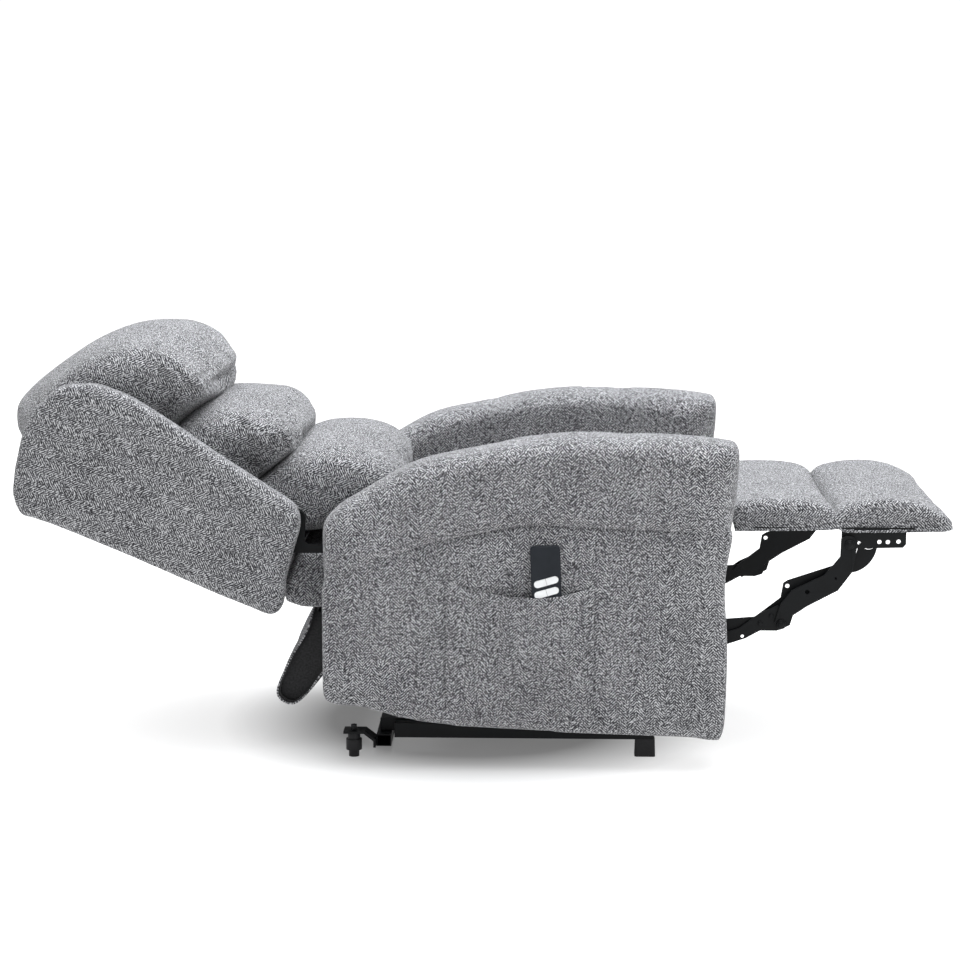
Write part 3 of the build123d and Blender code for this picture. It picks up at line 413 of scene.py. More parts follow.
# ---------------------------------------------------------------- materials
class Shade:
    """A material being made, with short calls for the nodes used here."""

    def __init__(self, name, **surface):
        self.material = bpy.data.materials.new(name)
        self.material.use_nodes = True
        self.tree = self.material.node_tree
        self.surface = self.tree.nodes["Principled BSDF"]
        for key, value in surface.items():
            self.surface.inputs[key.replace("_", " ").title().replace("Ior", "IOR")].default_value = value

    def put(self, socket, value):
        if isinstance(value, bpy.types.NodeSocket):
            self.tree.links.new(value, socket)
        else:
            socket.default_value = value

    def math(self, operation, *values, clamp=False):
        node = self.tree.nodes.new("ShaderNodeMath")
        node.operation, node.use_clamp = operation, clamp
        for socket, value in zip(node.inputs, values):
            self.put(socket, value)
        return node.outputs[0]

    def coordinates(self, cloth=False):
        if cloth:
            node = self.tree.nodes.new("ShaderNodeUVMap")
            node.uv_map = WEAVE
            return node.outputs["UV"]
        return self.tree.nodes.new("ShaderNodeTexCoord").outputs["Object"]

    def noise(self, vector, scale, detail=2.0, stretch=None):
        if stretch:
            mapping = self.tree.nodes.new("ShaderNodeMapping")
            mapping.inputs["Scale"].default_value = stretch
            self.put(mapping.inputs["Vector"], vector)
            vector = mapping.outputs[0]
        node = self.tree.nodes.new("ShaderNodeTexNoise")
        node.inputs["Scale"].default_value = scale
        node.inputs["Detail"].default_value = detail
        self.put(node.inputs["Vector"], vector)
        return node.outputs["Fac"]

    def ramp(self, factor, *stops):
        node = self.tree.nodes.new("ShaderNodeValToRGB")
        ramp = node.color_ramp
        while len(ramp.elements) < len(stops):
            ramp.elements.new(0.5)
        for element, (position, colour) in zip(ramp.elements, stops):
            element.position = position
            element.color = (*colour, 1)
        self.put(node.inputs[0], factor)
        return node.outputs[0]

    def spread(self, factor, low, high, to_low, to_high):
        node = self.tree.nodes.new("ShaderNodeMapRange")
        for socket, value in zip(node.inputs, (factor, low, high, to_low, to_high)):
            self.put(socket, value)
        return node.outputs[0]

    def ramp_value(self, factor, *stops):
        """A number that runs through the given (position, value) stops."""
        return self.ramp(factor, *((position, (value, value, value)) for position, value in stops))

    def bump(self, height, depth, strength=1.0):
        node = self.tree.nodes.new("ShaderNodeBump")
        node.inputs["Strength"].default_value = strength
        node.inputs["Distance"].default_value = depth
        self.put(node.inputs["Height"], height)
        self.put(self.surface.inputs["Normal"], node.outputs[0])


COLUMN = 0.0185  # width of one herringbone column
TWILL = 0.0058  # one diagonal rib to the next, along the column
STROKE = (370.0, 150.0)  # how often a yarn's tone changes across and along its rib, per metre


def tweed():
    """Grey herringbone tweed: broken dark and light strokes along ribs that turn back at each column."""
    shade = Shade("herringbone_tweed", roughness=0.95, sheen_weight=0.18, sheen_roughness=0.6,
                  specular_ior_level=0.12)
    cloth = shade.coordinates(cloth=True)
    split = shade.tree.nodes.new("ShaderNodeSeparateXYZ")
    shade.put(split.inputs[0], cloth)
    across, along = split.outputs[0], split.outputs[1]
    turned = shade.math("PINGPONG", across, COLUMN)
    column = shade.math("FLOOR", shade.math("DIVIDE", across, COLUMN))
    wander = shade.math("MULTIPLY", shade.math("SUBTRACT", shade.noise(cloth, 120), 0.5), 0.0028)
    over_ribs = shade.math("ADD", shade.math("ADD", along, turned), wander)
    with_ribs = shade.math("SUBTRACT", along, turned)
    strokes = shade.tree.nodes.new("ShaderNodeCombineXYZ")
    for socket, value in zip(strokes.inputs, (shade.math("MULTIPLY", over_ribs, STROKE[0]),
                                              shade.math("MULTIPLY", with_ribs, STROKE[1]),
                                              shade.math("MULTIPLY", column, 3.7))):
        shade.put(socket, value)
    stroke = shade.math("SUBTRACT", shade.noise(strokes.outputs[0], 1.0, detail=1.0), 0.5)
    rib = shade.math("SINE", shade.math("MULTIPLY", over_ribs, 2 * pi / TWILL))
    fleck = shade.math("SUBTRACT", shade.noise(cloth, 420, detail=1.0), 0.5)
    cloud = shade.math("SUBTRACT", shade.noise(cloth, 9, detail=3.0), 0.5)
    weave = shade.math("ADD", shade.math("MULTIPLY", rib, 0.30), shade.math("MULTIPLY", stroke, 2.7))
    tone = shade.math("ADD", weave, shade.math("MULTIPLY", fleck, 1.5))
    tone = shade.math("ADD", tone, shade.math("MULTIPLY", cloud, 0.25))
    tone = shade.math("ADD", tone, 0.5, clamp=True)
    colour = shade.ramp(tone, (0.02, (0.010, 0.010, 0.012)), (0.34, (0.066, 0.066, 0.073)),
                        (0.64, (0.185, 0.186, 0.196)), (0.98, (0.55, 0.555, 0.57)))
    shade.put(shade.surface.inputs["Base Color"], colour)
    shade.bump(shade.math("ADD", weave, shade.math("MULTIPLY", fleck, 0.5)), 0.0013, 0.8)
    return shade.material


def lining():
    """Black non-woven lining with a fine pressed grid."""
    shade = Shade("black_lining", roughness=0.9, sheen_weight=0.1)
    cloth = shade.coordinates(cloth=True)
    split = shade.tree.nodes.new("ShaderNodeSeparateXYZ")
    shade.put(split.inputs[0], cloth)
    grid = [shade.math("SINE", shade.math("MULTIPLY", split.outputs[k], 2 * pi / 0.0022)) for k in (0, 1)]
    pressed = shade.math("MULTIPLY", *grid)
    fluff = shade.noise(cloth, 260, detail=3.0)
    shade.put(shade.surface.inputs["Base Color"],
              shade.ramp(fluff, (0.3, (0.010, 0.010, 0.011)), (0.75, (0.032, 0.032, 0.034))))
    shade.bump(shade.math("ADD", shade.math("MULTIPLY", pressed, 0.4), fluff), 0.0005, 0.6)
    return shade.material


def painted_steel():
    """Black powder coat with a faint orange peel and dust in its duller patches."""
    shade = Shade("black_powder_coat", specular_ior_level=0.14)
    where = shade.coordinates()
    dust = shade.noise(where, 22, detail=4.0)
    shade.put(shade.surface.inputs["Base Color"],
              shade.ramp(dust, (0.35, (0.0035, 0.004, 0.0045)), (0.75, (0.007, 0.008, 0.009))))
    shade.put(shade.surface.inputs["Roughness"], shade.spread(dust, 0.3, 0.7, 0.36, 0.55))
    shade.bump(shade.noise(where, 900, detail=1.0), 0.0002, 0.35)
    return shade.material


def brushed_metal(name, colour, rough):
    """Plated steel with fine drawn lines along its length."""
    shade = Shade(name, metallic=1.0)
    lines = shade.noise(shade.coordinates(), 60, detail=4.0, stretch=(30, 1, 30))
    bright = tuple(min(1, c * 1.25) for c in colour)
    shade.put(shade.surface.inputs["Base Color"], shade.ramp(lines, (0.3, colour), (0.7, bright)))
    shade.put(shade.surface.inputs["Roughness"], shade.spread(lines, 0.3, 0.7, rough, rough + 0.15))
    shade.bump(lines, 0.0001, 0.4)
    return shade.material


def moulded(name, dark, light, rough, grain=1400):
    """Moulded plastic with a spark-eroded grain."""
    shade = Shade(name, specular_ior_level=0.2)
    where = shade.coordinates()
    shade.put(shade.surface.inputs["Base Color"],
              shade.ramp(shade.noise(where, 35, detail=3.0), (0.3, dark), (0.7, light)))
    speckle = shade.noise(where, grain, detail=1.0)
    shade.put(shade.surface.inputs["Roughness"], shade.spread(speckle, 0.3, 0.7, rough, rough + 0.12))
    shade.bump(speckle, 0.00012, 0.4)
    return shade.material


def plywood():
    """Pale birch board, long grain along X."""
    shade = Shade("birch_board", roughness=0.62)
    where = shade.coordinates()
    grain = shade.noise(where, 26, detail=5.0, stretch=(0.25, 3.0, 3.0))
    shade.put(shade.surface.inputs["Base Color"],
              shade.ramp(grain, (0.3, (0.36, 0.24, 0.13)), (0.5, (0.50, 0.36, 0.21)),
                         (0.72, (0.60, 0.46, 0.29))))
    shade.bump(grain, 0.0003, 0.4)
    return shade.material


MATERIALS = {
    "fabric": tweed(),
    "lining": lining(),
    "black_steel": painted_steel(),
    "zinc_steel": brushed_metal("zinc_plate", (0.46, 0.47, 0.48), 0.28),
    "spring_steel": brushed_metal("spring_wire", (0.22, 0.22, 0.23), 0.34),
    "black_plastic": moulded("black_moulded", (0.014, 0.014, 0.015), (0.022, 0.022, 0.024), 0.45),
    "handset_plastic": moulded("handset_moulded", (0.0075, 0.010, 0.014), (0.011, 0.014, 0.019), 0.4),
    "button_white": moulded("button_moulded", (0.72, 0.73, 0.74), (0.82, 0.83, 0.84), 0.34),
    "wood": plywood(),
}


def dress(piece, slot, body, *stands_for):
    """Gives a finished piece the material of the given slot, smooth shading and its body, and hides the CAD
    nodes it stands for.
    """
    piece.data.materials.clear()
    piece.data.materials.append(MATERIALS[slot])
    smooth_shade(piece.data)
    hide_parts(*stands_for)
    if body:
        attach(piece, body)
    return piece


# ---------------------------------------------------------------- CAD parts that stay
EDGE_BREAK = {"black_steel": 0.7, "zinc_steel": 0.4, "black_plastic": 1.2, "handset_plastic": 0.5,
              "button_white": 1.3, "wood": 1.0}
for row in frame["record"]["subparts"]:
    node, slot = frame["nodes"][row["node"]], row["material_slot"]
    for material_slot in node.material_slots:
        material_slot.material = MATERIALS[slot]
    if slot in EDGE_BREAK:
        add_modifier(node, "WELD", merge_threshold=0.00002)
        add_modifier(node, "BEVEL", width=EDGE_BREAK[slot] * MM, segments=2, limit_method="ANGLE",
                     angle_limit=radians(40), use_clamp_overlap=True, harden_normals=False)


# ---------------------------------------------------------------- arms
PAD_SEAM = through((-491, 464), (-277, 469), (-107, 474), (7, 459), (121, 433), (227, 393), (303, 352))
ARM_CROWN = through((303, 500), (267, 532), (210, 566), (124, 611), (9, 638), (-106, 661),
                    (-218, 669), (-333, 667), (-447, 659), (-478, 655))
ARM_NOSE = through((-478, 655), (-495, 652), (-503, 638), (-501, 605), (-496, 553), (-491, 464), steps=4)
ARM_REAR_FROM = 250


def let_out_rear(ring, extra):
    """Moves the rear edge of an arm's outline back, for the fullness that it loses when it is swollen."""
    ring[:, 0] += np.where(ring[:, 0] > ARM_REAR_FROM, extra, 0)


arm_pad_ring = closed(ARM_CROWN, ARM_NOSE, PAD_SEAM)
let_out_rear(arm_pad_ring, 7)
pad_low, pad_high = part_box("arm_pad_right")


def pad_ease(ring):
    """Full rounding along the crown and the nose, little along the seam."""
    over_seam = ring[:, 1] - np.interp(ring[:, 0], [-491, -277, 7, 227, 303], [464, 469, 459, 393, 352])
    return np.clip(0.25 + over_seam / 90, 0.25, 1.0)


arm_pad = loft("arm_pad_soft_right", arm_pad_ring, pad_low.x / MM, pad_high.x / MM, 38, 5, ease=pad_ease)
stuff(arm_pad, 8, 4, 9, slack=0.01)

panel_low, panel_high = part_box("arm_panel_right")
PANEL_HEM = through((303, 136), (237, 125), (180, 110), (150, 102), (64, 89), (-50, 82), (-165, 76),
                    (-281, 72), (-394, 68), (-468, 64))
PANEL_FRONT = through((-468, 64), (-478, 74), (-483, 164), (-484, 252), (-478, 351), (-480, 400), (-489, 463))
PANEL_OUT = 416.0  # how far out the arm panel's face is
POCKET_REAR, POCKET_FRONT, POCKET_BOTTOM = 66.0, -222.0, 142.0
PANEL_TUCK = 24  # how far the panel reaches up under the pad
UNDER_PAD = [(y, z + PANEL_TUCK) for y, z in PAD_SEAM]
arm_panel_ring = closed(UNDER_PAD, [(303, 352)], PANEL_HEM, PANEL_FRONT)
let_out_rear(arm_panel_ring, 8)
arm_panel = loft("arm_panel_soft_right", arm_panel_ring, panel_low.x / MM, panel_high.x / MM, 12, 0)
stuff(arm_panel, 11, 2.5, 5)

# ---------------------------------------------------------------- back wings
WING_TOP = through((361, 505), (374, 522), (433, 563), (517, 618), (606, 680), (686, 729), (728, 746),
                   (763, 756), (800, 754))
WING_END = through((898, 672), (908, 646), (922, 581), (926, 539), (914, 504), (897, 495))
WING_FOOT = through((422, 297), (411, 299), (398, 315), (391, 345), (387, 376), (370, 438), (362, 464),
                    (358, 485), (361, 505), steps=4)
WING_PLEATS = [(800, 754), (834, 749), (861, 724), (882, 702), (898, 672)]
WING_UNDER = [(863, 482), (693, 411), (522, 336), (445, 306)]
wing_ring = closed(WING_TOP, WING_PLEATS, WING_END, WING_UNDER, WING_FOOT)
wing_low, wing_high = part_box("back_wing_right")
wing = loft("back_wing_soft_right", wing_ring, wing_low.x / MM, wing_high.x / MM, 17, -3)
stuff(wing, 7, 3, 7, slack=0.005)

# ---------------------------------------------------------------- pillows
BACK_FOOT, BACK_HEAD = (411.0, 299.0), (900.0, 497.0)
BACK_ANGLE = atan2(BACK_HEAD[1] - BACK_FOOT[1], BACK_HEAD[0] - BACK_FOOT[0])


def on_back(u, n):
    """A drawn point from its distance along the back and away from its rear face."""
    return (BACK_FOOT[0] + u * cos(BACK_ANGLE) - n * sin(BACK_ANGLE),
            BACK_FOOT[1] + u * sin(BACK_ANGLE) + n * cos(BACK_ANGLE))


def crown_ease(low, high):
    """Rounds a pillow's ends from nothing at its sewn back to full at its crown."""
    def weight(ring):
        n = (ring[:, 1] - BACK_FOOT[1]) * cos(BACK_ANGLE) - (ring[:, 0] - BACK_FOOT[0]) * sin(BACK_ANGLE)
        rear = np.clip((ring[:, 0] - 880) / 60, 0, 1)
        return np.clip((n - low) / (high - low), 0.15, 1.0) + 0.7 * rear
    return weight


HEAD_FRONT = through((527, 775), (539, 742), (570, 712), (621, 668), (662, 604), steps=5)
HEAD_CROWN = through((977, 638), (959, 685), (915, 733), (833, 797), (776, 829), (725, 845), (681, 848),
                     (629, 843), (571, 815), (527, 775))
head_ring = closed(HEAD_CROWN, HEAD_FRONT, [on_back(338, 142), on_back(518, 142), (940, 582), (968, 612)])
MIDDLE_CROWN = through((617, 668), (549, 707), (473, 708), (421, 700), (386, 682), (366, 655), (368, 632),
                       (383, 614))
middle_ring = closed(MIDDLE_CROWN, [(433, 572), (498, 514), on_back(154, 142), on_back(330, 142), (655, 600)])
LUMBAR_CROWN = through((385, 608), (348, 627), (296, 637), (243, 633), (197, 613), (166, 584), (157, 556),
                       (168, 515), (190, 480), (250, 448))
lumbar_ring = closed(LUMBAR_CROWN, [(367, 437), on_back(140, 142), (490, 508)])

PILLOWS = {  # outline, rounding and sag of the ends in millimetres, and where the rounding acts
    "headrest": (head_ring, 52, 40, crown_ease(120, 260)),
    "middle": (middle_ring, 50, 34, crown_ease(120, 230)),
    "lumbar": (lumbar_ring, 46, 26, crown_ease(120, 230)),
}
pillows = {}
for pillow_name, (ring, round_over, sag, ease) in PILLOWS.items():
    low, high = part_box(f"{pillow_name}_pillow")
    pillow = loft(f"{pillow_name}_pillow_soft", ring, low.x / MM, high.x / MM, round_over, 8, sag, ease)
    stuff(pillow, 8, 4, 14, slack=0.03)
    pillows[pillow_name] = pillow

# ---------------------------------------------------------------- seat, back and footrest pads
SEAT_NOSE = through((-401, 324), (-436, 326), (-441, 350), (-441, 462), (-432, 492), (-398, 506), steps=5)
SEAT_CROWN = through((-398, 506), (-250, 512), (-60, 502), (96, 492))
seat_ring = closed([(112, 374), (-401, 374)], SEAT_NOSE, SEAT_CROWN, [(117, 480)])
seat_low, seat_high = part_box("seat_cushion")
seat = loft("seat_cushion_soft", seat_ring, seat_low.x / MM, seat_high.x / MM, 26, 7)
stuff(seat, 12, 4, 12, slack=0.01)

core_ring = closed([on_back(18, 50), on_back(518, 50), on_back(518, 140), on_back(18, 140)])
core_low, core_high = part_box("back_core_pad")
core = loft("back_core_soft", core_ring, core_low.x / MM, core_high.x / MM, 16, 5)
stuff(core, 16, 2, 5)

outer_ring = closed([on_back(12, 0), on_back(522, 0), on_back(522, 16), on_back(12, 16)])
outer_low, outer_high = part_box("back_outer_panel")
outer = loft("back_outer_soft", outer_ring, outer_low.x / MM, outer_high.x / MM, 6, 0.5)
stuff(outer, 5, 1.5, 2.5)

block_ring = closed([(307, 411), (307, 289), (364, 291), (398, 302), (402, 330), (366, 411)])
block_low, block_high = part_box("lower_back_panel")
block = loft("lower_back_soft", block_ring, block_low.x / MM, block_high.x / MM, 12, 3)
stuff(block, 8, 2, 4)

CREASE = -706.0
CALF_UNDER = [(-712, 465), (-690, 462), (-600, 460), (-500, 459)]
FOOT_UNDER = [(-934, 464), (-920, 460), (-830, 458), (-728, 457), (-716, 460), (-700, 470)]
CALF_CROWN = through((CREASE - 9, 474), (CREASE - 8, 490), (-700, 503), (-676, 516),
                     (-640, 523), (-580, 525), (-503, 522))
calf_ring = closed(CALF_UNDER[::-1], CALF_CROWN)
FOOT_CROWN = through((CREASE + 9, 490), (CREASE - 6, 505), (-738, 518), (-786, 526), (-830, 526),
                     (-868, 518), (-900, 502), (-922, 486), (-935, 474), (-933, 462))
foot_ring = closed(FOOT_CROWN, FOOT_UNDER[1:-1], [(CREASE + 6, 466), (CREASE + 9, 480), (CREASE + 9, 490)])
pad_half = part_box("foot_pad")[1].x / MM


def crown_only(ring):
    """Rounds the top of a footrest pad's ends and leaves its flat underside."""
    return np.clip((ring[:, 1] - 482) / 44, 0.06, 1.0)


calf = loft("calf_pad_soft", calf_ring, -pad_half, pad_half, 20, 3, 3, crown_only)
foot = loft("foot_pad_soft", foot_ring, -pad_half, pad_half, 22, 3, 4, crown_only)
stuff(calf, 7, 3, 7)
stuff(foot, 7, 3, 7)

swell_all()

# ---------------------------------------------------------------- seams, puckers and limits
PAD_OUT = 418.0  # how far out the arm pad's face is, for the seams drawn on it
press(arm_pad, points_of([(-210, 668), (-212, 600), (-211, 565)], -PAD_OUT), 4, 2.2)
press(arm_pad, np.vstack([points_of([(-210, 668)], x) for x in (-418, -390, -350, -310, -283)]), 4, 2.0)
gather(arm_pad, points_of(PAD_SEAM, -PAD_OUT), 26, 1.6, 88, seed=3)
keep_within(arm_pad, low=(-0.4208, None, None), high=(-0.2800, None, None))

for seam_y in (POCKET_REAR, POCKET_FRONT):
    press(arm_panel, points_of([(seam_y, 462), (seam_y - 2, 300), (seam_y, 80)], -PANEL_OUT), 4.0, 4.0)
press(arm_panel, points_of(PAD_SEAM, -PANEL_OUT), 9, 4.0)
pocket_foot = points_of([(POCKET_REAR, POCKET_BOTTOM), (POCKET_FRONT, POCKET_BOTTOM)], -PANEL_OUT)
gather(arm_panel, pocket_foot, 30, 1.0, 70, seed=9)
keep_within(arm_panel, low=(-0.4165, None, None), high=(-0.2810, None, None))

keep_within(wing, low=(-0.3545, None, None), high=(-0.2835, None, None))
for pleat in ((834, 749), (800, 754)):
    toward = (pleat[0] - 8, pleat[1] - 34)
    press(wing, points_of([pleat, toward], -349), 5, 1.6)

head = pillows["headrest"]
for _, side in SIDES:
    for start, end in (((789, 820), (800, 735)), ((868, 768), (880, 705))):
        press(head, np.vstack([points_of([start], side * 215), points_of([end], side * 268)]), 5, 5.0)
    gather(head, points_of([(562, 750), (640, 690)], side * 268), 30, 2.2, 42, seed=21 + side)
    middle_end = points_of([(375, 640), (470, 560), (560, 600)], side * 262)
    gather(pillows["middle"], middle_end, 52, 6.5, 74, seed=31 + side)
    lumbar_end = points_of([(200, 500), (300, 520), (420, 560)], side * 258)
    gather(pillows["lumbar"], lumbar_end, 46, 5.0, 66, seed=41 + side)
    for crease in (((476, 683), (433, 613)), ((549, 645), (531, 610))):
        ends = [points_of([spot], side * x)[0] for spot, x in zip(crease, (266, 280))]
        press(pillows["middle"], np.array(ends), 9, 10.0)
    pull(head, (side * 262, 576 - MIDDLE_Y, 728), (side * 5, 5, -3), 38)
    pull(head, (side * 262, 588 - MIDDLE_Y, 689), (0, 14, 0), 40)
    pull(head, (side * 205, 548 - MIDDLE_Y, 792), (0, 8, -18), 72)
    pull(head, (side * 262, 965 - MIDDLE_Y, 650), (0, -46, -6), 100)
press(head, crossing((545, 741), 262), 6, 3.0)
for name in ("middle", "lumbar"):
    front = (372, 642) if name == "middle" else (158, 556)
    gather(pillows[name], crossing(front, 250), 42, 2.0, 90, seed=51)
for name in pillows:
    keep_within(pillows[name], low=(-0.2825, None, None), high=(0.2825, None, None))

for pad in (calf, foot):
    press(pad, crossing((CREASE, 488), 279), 13, 5.0)
lay_underside(calf, CALF_UNDER, pad_half, 11)
lay_underside(foot, FOOT_UNDER, pad_half, 11)
for side in (-1, 1):
    press(foot, points_of([(-716, 477), (-830, 478), (-912, 482)], side * pad_half), 5, 5.0)
press(foot, crossing((-922, 484), 262), 3.5, 2.5)
keep_within(foot, low=(-0.279, None, None), high=(0.279, (CREASE + 1 - MIDDLE_Y) * MM, None))
keep_within(calf, low=(-0.279, (CREASE - 1 - MIDDLE_Y) * MM, None), high=(0.279, None, None))

# the seat's front end is narrower, which leaves room for the folded links beside it
SEAT_WIDE_FROM, SEAT_FRONT_HALF, SEAT_HALF = -331.0, 244.0, 279.0
spots = get_points(seat.data)
widening = np.clip((spots[:, 1] / MM + MIDDLE_Y - SEAT_WIDE_FROM) / 14 + 1, 0, 1)
spots[:, 0] *= (SEAT_FRONT_HALF + (SEAT_HALF - SEAT_FRONT_HALF) * widening) / SEAT_HALF
set_points(seat.data, spots)
for side in (-1, 1):
    press(seat, np.vstack([points_of([(-441, 452), (-347, 466)], side * SEAT_FRONT_HALF),
                           points_of([(-329, 468), (100, 470)], side * SEAT_HALF)]), 6, 3.0)
press(seat, crossing((-441, 452), 245), 5, 3.0)
for seam_x in (-92, 92):
    press(seat, np.array([points_of([(y, 505)], seam_x)[0] for y in (-435, -300, -100, 100)]), 7, 4.0)
keep_within(seat, low=(-0.2795, None, None), high=(0.2795, None, 0.520))

lay_cloth(arm_pad, arm_pad_ring, 90, band_along_x=True)
lay_cloth(arm_panel, arm_panel_ring, 90, band_along_x=True)
BACK_GRAIN = degrees(BACK_ANGLE)
lay_cloth(wing, wing_ring, BACK_GRAIN)
for name, (ring, *_) in PILLOWS.items():
    lay_cloth(pillows[name], ring, BACK_GRAIN)
for piece, ring, grain in (
    (seat, seat_ring, 0),
    (core, core_ring, BACK_GRAIN),
    (outer, outer_ring, BACK_GRAIN),
    (block, block_ring, 90),
    (calf, calf_ring, 0),
    (foot, foot_ring, 0),
):
    lay_cloth(piece, ring, grain)

for piece, node, body, fill in (
    (arm_pad, "arm_pad", "seat_frame", 0.8),
    (arm_panel, "arm_panel", "seat_frame", 0.9),
    (wing, "back_wing", "backrest", 0.85),
):
    other = mirrored(piece, piece.name.replace("right", "left"))
    for half, side_name in ((piece, "right"), (other, "left")):
        dress(half, "fabric", body, f"{node}_{side_name}")
for name in PILLOWS:
    dress(pillows[name], "fabric", "backrest", f"{name}_pillow")
for piece, node, body, fill in (
    (seat, "seat_cushion", "seat_frame", 0.8),
    (core, "back_core_pad", "backrest", 0.9),
    (outer, "back_outer_panel", "backrest", 0.95),
    (block, "lower_back_panel", "backrest", 0.9),
    (calf, "calf_pad", "footrest", 0.75),
    (foot, "foot_pad", "footrest", 0.75),
):
    dress(piece, "fabric", body, node)


# ---------------------------------------------------------------- side pocket
POCKET_MOUTH = through((66, 384), (10, 366), (-60, 358), (-130, 357), (-180, 364), (-222, 374))
CLOTH = 2.6  # thickness of the doubled cloth
HANDSET_STAND = 22.5  # how far the cloth stands off the panel over the handset
HANDSET_Y, HANDSET_FOOT = -131.0, 262.0


def pocket_cloth():
    """A patch of cloth sewn down at its sides and bottom, gathered by its elastic mouth."""
    across, down = 130, 110
    mouth = np.array(POCKET_MOUTH)
    points, cloth = [], []
    for i in range(across + 1):
        s = i / across
        y = POCKET_REAR + s * (POCKET_FRONT - POCKET_REAR)
        top = np.interp(-y, -mouth[:, 0], mouth[:, 1])
        for j in range(down + 1):
            t = j / down
            z = POCKET_BOTTOM + t * (top - POCKET_BOTTOM)
            beside = np.clip((abs(y - HANDSET_Y) - 32) / (62 if y < HANDSET_Y else 96), 0, 1)
            below = np.clip((HANDSET_FOOT + 4 - z) / 88, 0, 1)
            tent = (0.5 + 0.5 * cos(pi * beside)) * (0.5 + 0.5 * cos(pi * below))
            edge = sin(pi * s) ** 0.5
            stand = 2.0 + 4.0 * edge * t + (HANDSET_STAND - 6.0) * tent * min(1.0, 1.15 * edge)
            folds = sin(s * 31 + 1.5 * t) * 0.55 + sin(s * 19 - 2.2 * t + 1.0) * 0.8
            folds = folds + sin(s * 53 + 0.6) * 0.25
            stand += 2.4 * folds * edge * max(0.0, t - 0.1) ** 0.8 * (1 - 0.5 * t) * (1 - 0.75 * tent)
            hem = 1.2 * np.exp(-(((t - 0.955) / 0.022) ** 2))
            off_panel = max(0.8, min(stand + hem * (1 - tent), HANDSET_STAND + 2.0))
            points.append(Vector((-(PANEL_OUT + off_panel), y - MIDDLE_Y, z)) * MM)
            cloth.append((y * MM, z * MM))
    mesh = woven_mesh("pocket_cloth", points, grid_faces(across, down + 1), cloth)
    piece = new_object("pocket_cloth", mesh)
    add_modifier(piece, "SOLIDIFY", thickness=CLOTH * MM, offset=1.0)
    bake_modifiers(piece)
    return piece


pocket = dress(pocket_cloth(), "fabric", "seat_frame", "side_pocket")

# ---------------------------------------------------------------- rear flap between seat and back
FLAP_LINE = through((231, 214), (306, 174), (358, 108), (391, 88),
                    (418, 112), (394, 176), (357, 240), (342, 286), steps=10)
FLAP_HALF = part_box("rear_flap")[1].x / MM
COVER_CLOTH, LINING_CLOTH = 3.2, 1.4


def hang(mesh, thickness, slot):
    """The sheet gets its thickness and cloth, and stretches between the seat and the back."""
    piece = new_object(mesh.name, mesh)
    add_modifier(piece, "SOLIDIFY", thickness=thickness * MM, offset=0.0)
    bake_modifiers(piece)
    dress(piece, slot, None, "rear_flap")
    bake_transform(piece)


def flap_sheet(name, offset, thickness, slot, inset):
    """One layer of the hanging flap, the given distance inside its drawn line."""
    line = np.array(FLAP_LINE)
    along = np.gradient(line, axis=0)
    along /= np.linalg.norm(along, axis=1)[:, None]
    line = line + np.column_stack([-along[:, 1], along[:, 0]]) * offset
    run = np.concatenate([[0], np.cumsum(np.linalg.norm(np.diff(line, axis=0), axis=1))])
    across = 60
    half = FLAP_HALF - inset
    points, cloth = [], []
    for i in range(across + 1):
        x = -half + 2 * half * i / across
        for (y, z), s in zip(line, run):
            slack = sin(pi * s / run[-1])
            wave = (3.0 * sin(x / 46 + s / 90) + 1.6 * sin(x / 23 + 1.0)) * slack
            droop = 5.0 * cos(pi * x / (2 * half)) * slack
            points.append(Vector((x, y - MIDDLE_Y + wave * 0.6, z - droop + 4.0 * slack)) * MM)
            cloth.append((x * MM, s * MM))
    rows = len(run)
    hang(woven_mesh(name, points, grid_faces(across, rows), cloth), thickness, slot)


def flap_end(side_name, side, inset=20.0, rows=10):
    """The lining that closes one end of the flap, from its line up to the chord between its ends."""
    line = np.array(FLAP_LINE)
    share = np.linspace(0, 1, len(line))[:, None]
    chord = line[:1] + (line[-1:] - line[:1]) * share
    x = side * (FLAP_HALF - inset)
    points, cloth = [], []
    for k in range(rows + 1):
        for (y, z), s in zip(line + (chord - line) * k / rows, share[:, 0]):
            billow = side * 4.0 * sin(pi * k / rows) * sin(3 * pi * s)
            points.append(Vector((x + billow, y - MIDDLE_Y, z)) * MM)
            cloth.append((y * MM, z * MM))
    name = f"flap_end_{side_name}"
    mesh = woven_mesh(name, points, grid_faces(rows, len(line)), cloth)
    hang(mesh, LINING_CLOTH, "lining")


flap_sheet("flap_cover", 0.0, COVER_CLOTH, "fabric", 0.0)
flap_sheet("flap_lining", 2.6, LINING_CLOTH, "lining", 4.0)
for side_name, side in SIDES:
    flap_end(side_name, side)


# ---------------------------------------------------------------- small hardware
def lathe(name, profile, spots, side, turns=28):
    """Turned parts about X at each spot. The profile is (distance out along X, radius)."""
    points, faces = [], []
    for y, z, x in spots:
        start = len(points)
        for out, radius in profile:
            for k in range(turns):
                angle = 2 * pi * k / turns
                around = (y - MIDDLE_Y + radius * cos(angle), z + radius * sin(angle))
                points.append(Vector((side * (x + out), *around)) * MM)
        for r in range(len(profile) - 1):
            for k in range(turns):
                a, b = start + r * turns + k, start + r * turns + (k + 1) % turns
                faces.append((a, b, b + turns, a + turns))
        last = start + (len(profile) - 1) * turns
        faces.append(tuple(range(last, last + turns)))
        faces.append(tuple(range(start, start + turns))[::-1])
    mesh = mesh_from(name, points, faces)
    face_outwards(mesh)
    return new_object(name, mesh)


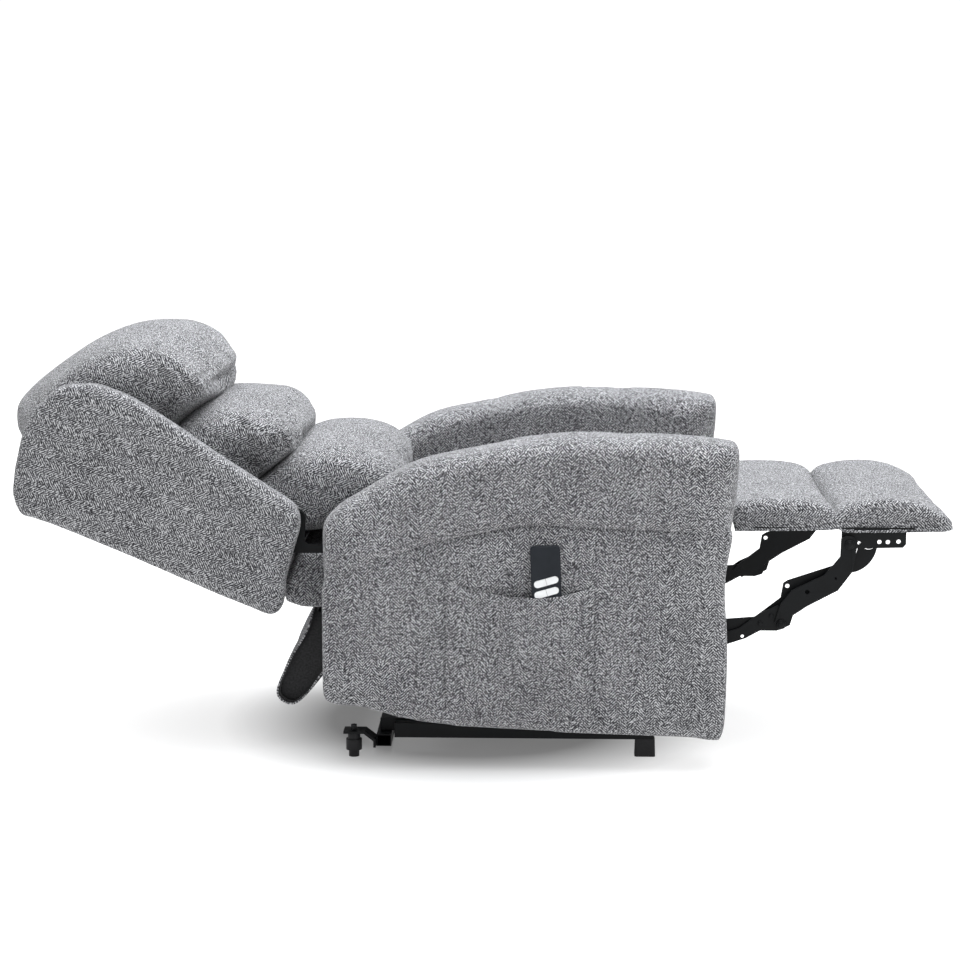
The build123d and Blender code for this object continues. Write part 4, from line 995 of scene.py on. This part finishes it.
RIVET = [(-0.5, 9.5), (0.8, 9.5), (1.6, 9.0), (2.2, 7.8), (2.3, 5.6), (3.0, 5.2), (3.6, 4.0), (3.8, 2.0)]
SMALL_RIVET = [(-0.5, 5.0), (0.6, 4.9), (1.2, 4.2), (1.6, 2.8), (1.7, 1.2)]
WASHER = [(0.0, 15.0), (1.8, 15.0), (2.1, 14.4)]  # covers the wide eye of the hook link
RIVETS = (
    ("lower_link_rivets", "lower_links", RIVET, [(-598.1, 271.9, 278.5)]),
    ("lower_link_small_rivets", "lower_links", SMALL_RIVET, [(-579, 288, 271.2), (-557, 272, 271.2)]),
    ("footrest_rivets", "footrest", RIVET, [(-731, 435, 278.5)]),
    ("hook_washers", "footrest", WASHER, [(-771, 438, 258.6)]),
)
for rivet_name, body, profile, spots in RIVETS:
    for side_name, side in SIDES:
        piece = lathe(f"{rivet_name}_{side_name}", profile, spots, side)
        piece.data.materials.append(MATERIALS["black_steel"])
        smooth_shade(piece.data)
        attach(piece, body)

# ---------------------------------------------------------------- floor, light and camera
FLOOR_HALF = 60
floor_corners = [(FLOOR_HALF * x, FLOOR_HALF * y, 0) for x, y in ((-1, -1), (1, -1), (1, 1), (-1, 1))]
floor_mesh = mesh_from("studio_floor", floor_corners, [(0, 1, 2, 3)])
floor = new_object("studio_floor", floor_mesh)
paper = Shade("pale_paper", roughness=0.85, specular_ior_level=0.1, base_color=(0.34, 0.34, 0.342, 1),
              emission_color=(1, 1, 1, 1))
# Painted light and shade on the floor: it glows more the farther it is from the chair, so the far floor
# shines white and a dimmer, painted shadow lies under and near the chair.
place = paper.tree.nodes.new("ShaderNodeVectorMath")
place.operation = "LENGTH"
paper.put(place.inputs[0], paper.coordinates())
distance = paper.math("MULTIPLY", place.outputs["Value"], 0.5)
painted_floor_glow_and_shadow = paper.ramp_value(distance, (0.15, 0.16), (0.27, 0.76), (0.44, 0.92), (0.72, 1.0))
paper.put(paper.surface.inputs["Emission Strength"], painted_floor_glow_and_shadow)
floor.data.materials.append(paper.material)
floor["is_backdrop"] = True

scene = bpy.context.scene
scene.view_settings.view_transform = "Standard"
SKY = 0.36  # brightness of the studio above its white walls
world = bpy.data.worlds.new("studio")
scene.world = world
world.use_nodes = True
sky = world.node_tree
sky_height = sky.nodes.new("ShaderNodeSeparateXYZ")
sky.links.new(sky.nodes.new("ShaderNodeTexCoord").outputs["Generated"], sky_height.inputs[0])
sky_band = sky.nodes.new("ShaderNodeMapRange")
for socket, value in zip(sky_band.inputs[1:5], (0.05, 0.16, 1.06, SKY)):
    socket.default_value = value
sky.links.new(sky_height.outputs[2], sky_band.inputs[0])
sky.links.new(sky_band.outputs[0], sky.nodes["Background"].inputs["Strength"])
sky.nodes["Background"].inputs["Color"].default_value = (1.0, 1.0, 1.0, 1)


def softbox(name, place, aim, size, power, tint=(1, 1, 1)):
    lamp = bpy.data.lights.new(name, "AREA")
    lamp.shape, lamp.size, lamp.size_y = "RECTANGLE", size[0], size[1]
    lamp.energy, lamp.color = power, tint
    holder = new_object(name, lamp)
    holder.location = place
    holder.rotation_euler = (Vector(aim) - Vector(place)).to_track_quat("-Z", "Y").to_euler()


softbox("overhead", (0.3, -0.4, 3.4), (0, -0.1, 0.4), (5.0, 4.6), 350, (0.97, 0.985, 1.0))
softbox("camera_side", (-3.4, -2.0, 1.6), (0, -0.1, 0.4), (2.4, 2.0), 11)

CAMERA_PLACE = Vector((-5.019, -0.171, 1.3545))
CAMERA_PITCH, CAMERA_YAW = radians(9.493), radians(1.796)
camera = new_object("camera", bpy.data.cameras.new("camera"))
camera.data.lens, camera.data.sensor_width = 90.8, 36.0
camera.location = CAMERA_PLACE
look = Vector((cos(CAMERA_PITCH) * cos(CAMERA_YAW), cos(CAMERA_PITCH) * sin(CAMERA_YAW), -sin(CAMERA_PITCH)))
camera.rotation_euler = look.to_track_quat("-Z", "Y").to_euler()
scene.camera = camera

low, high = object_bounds()
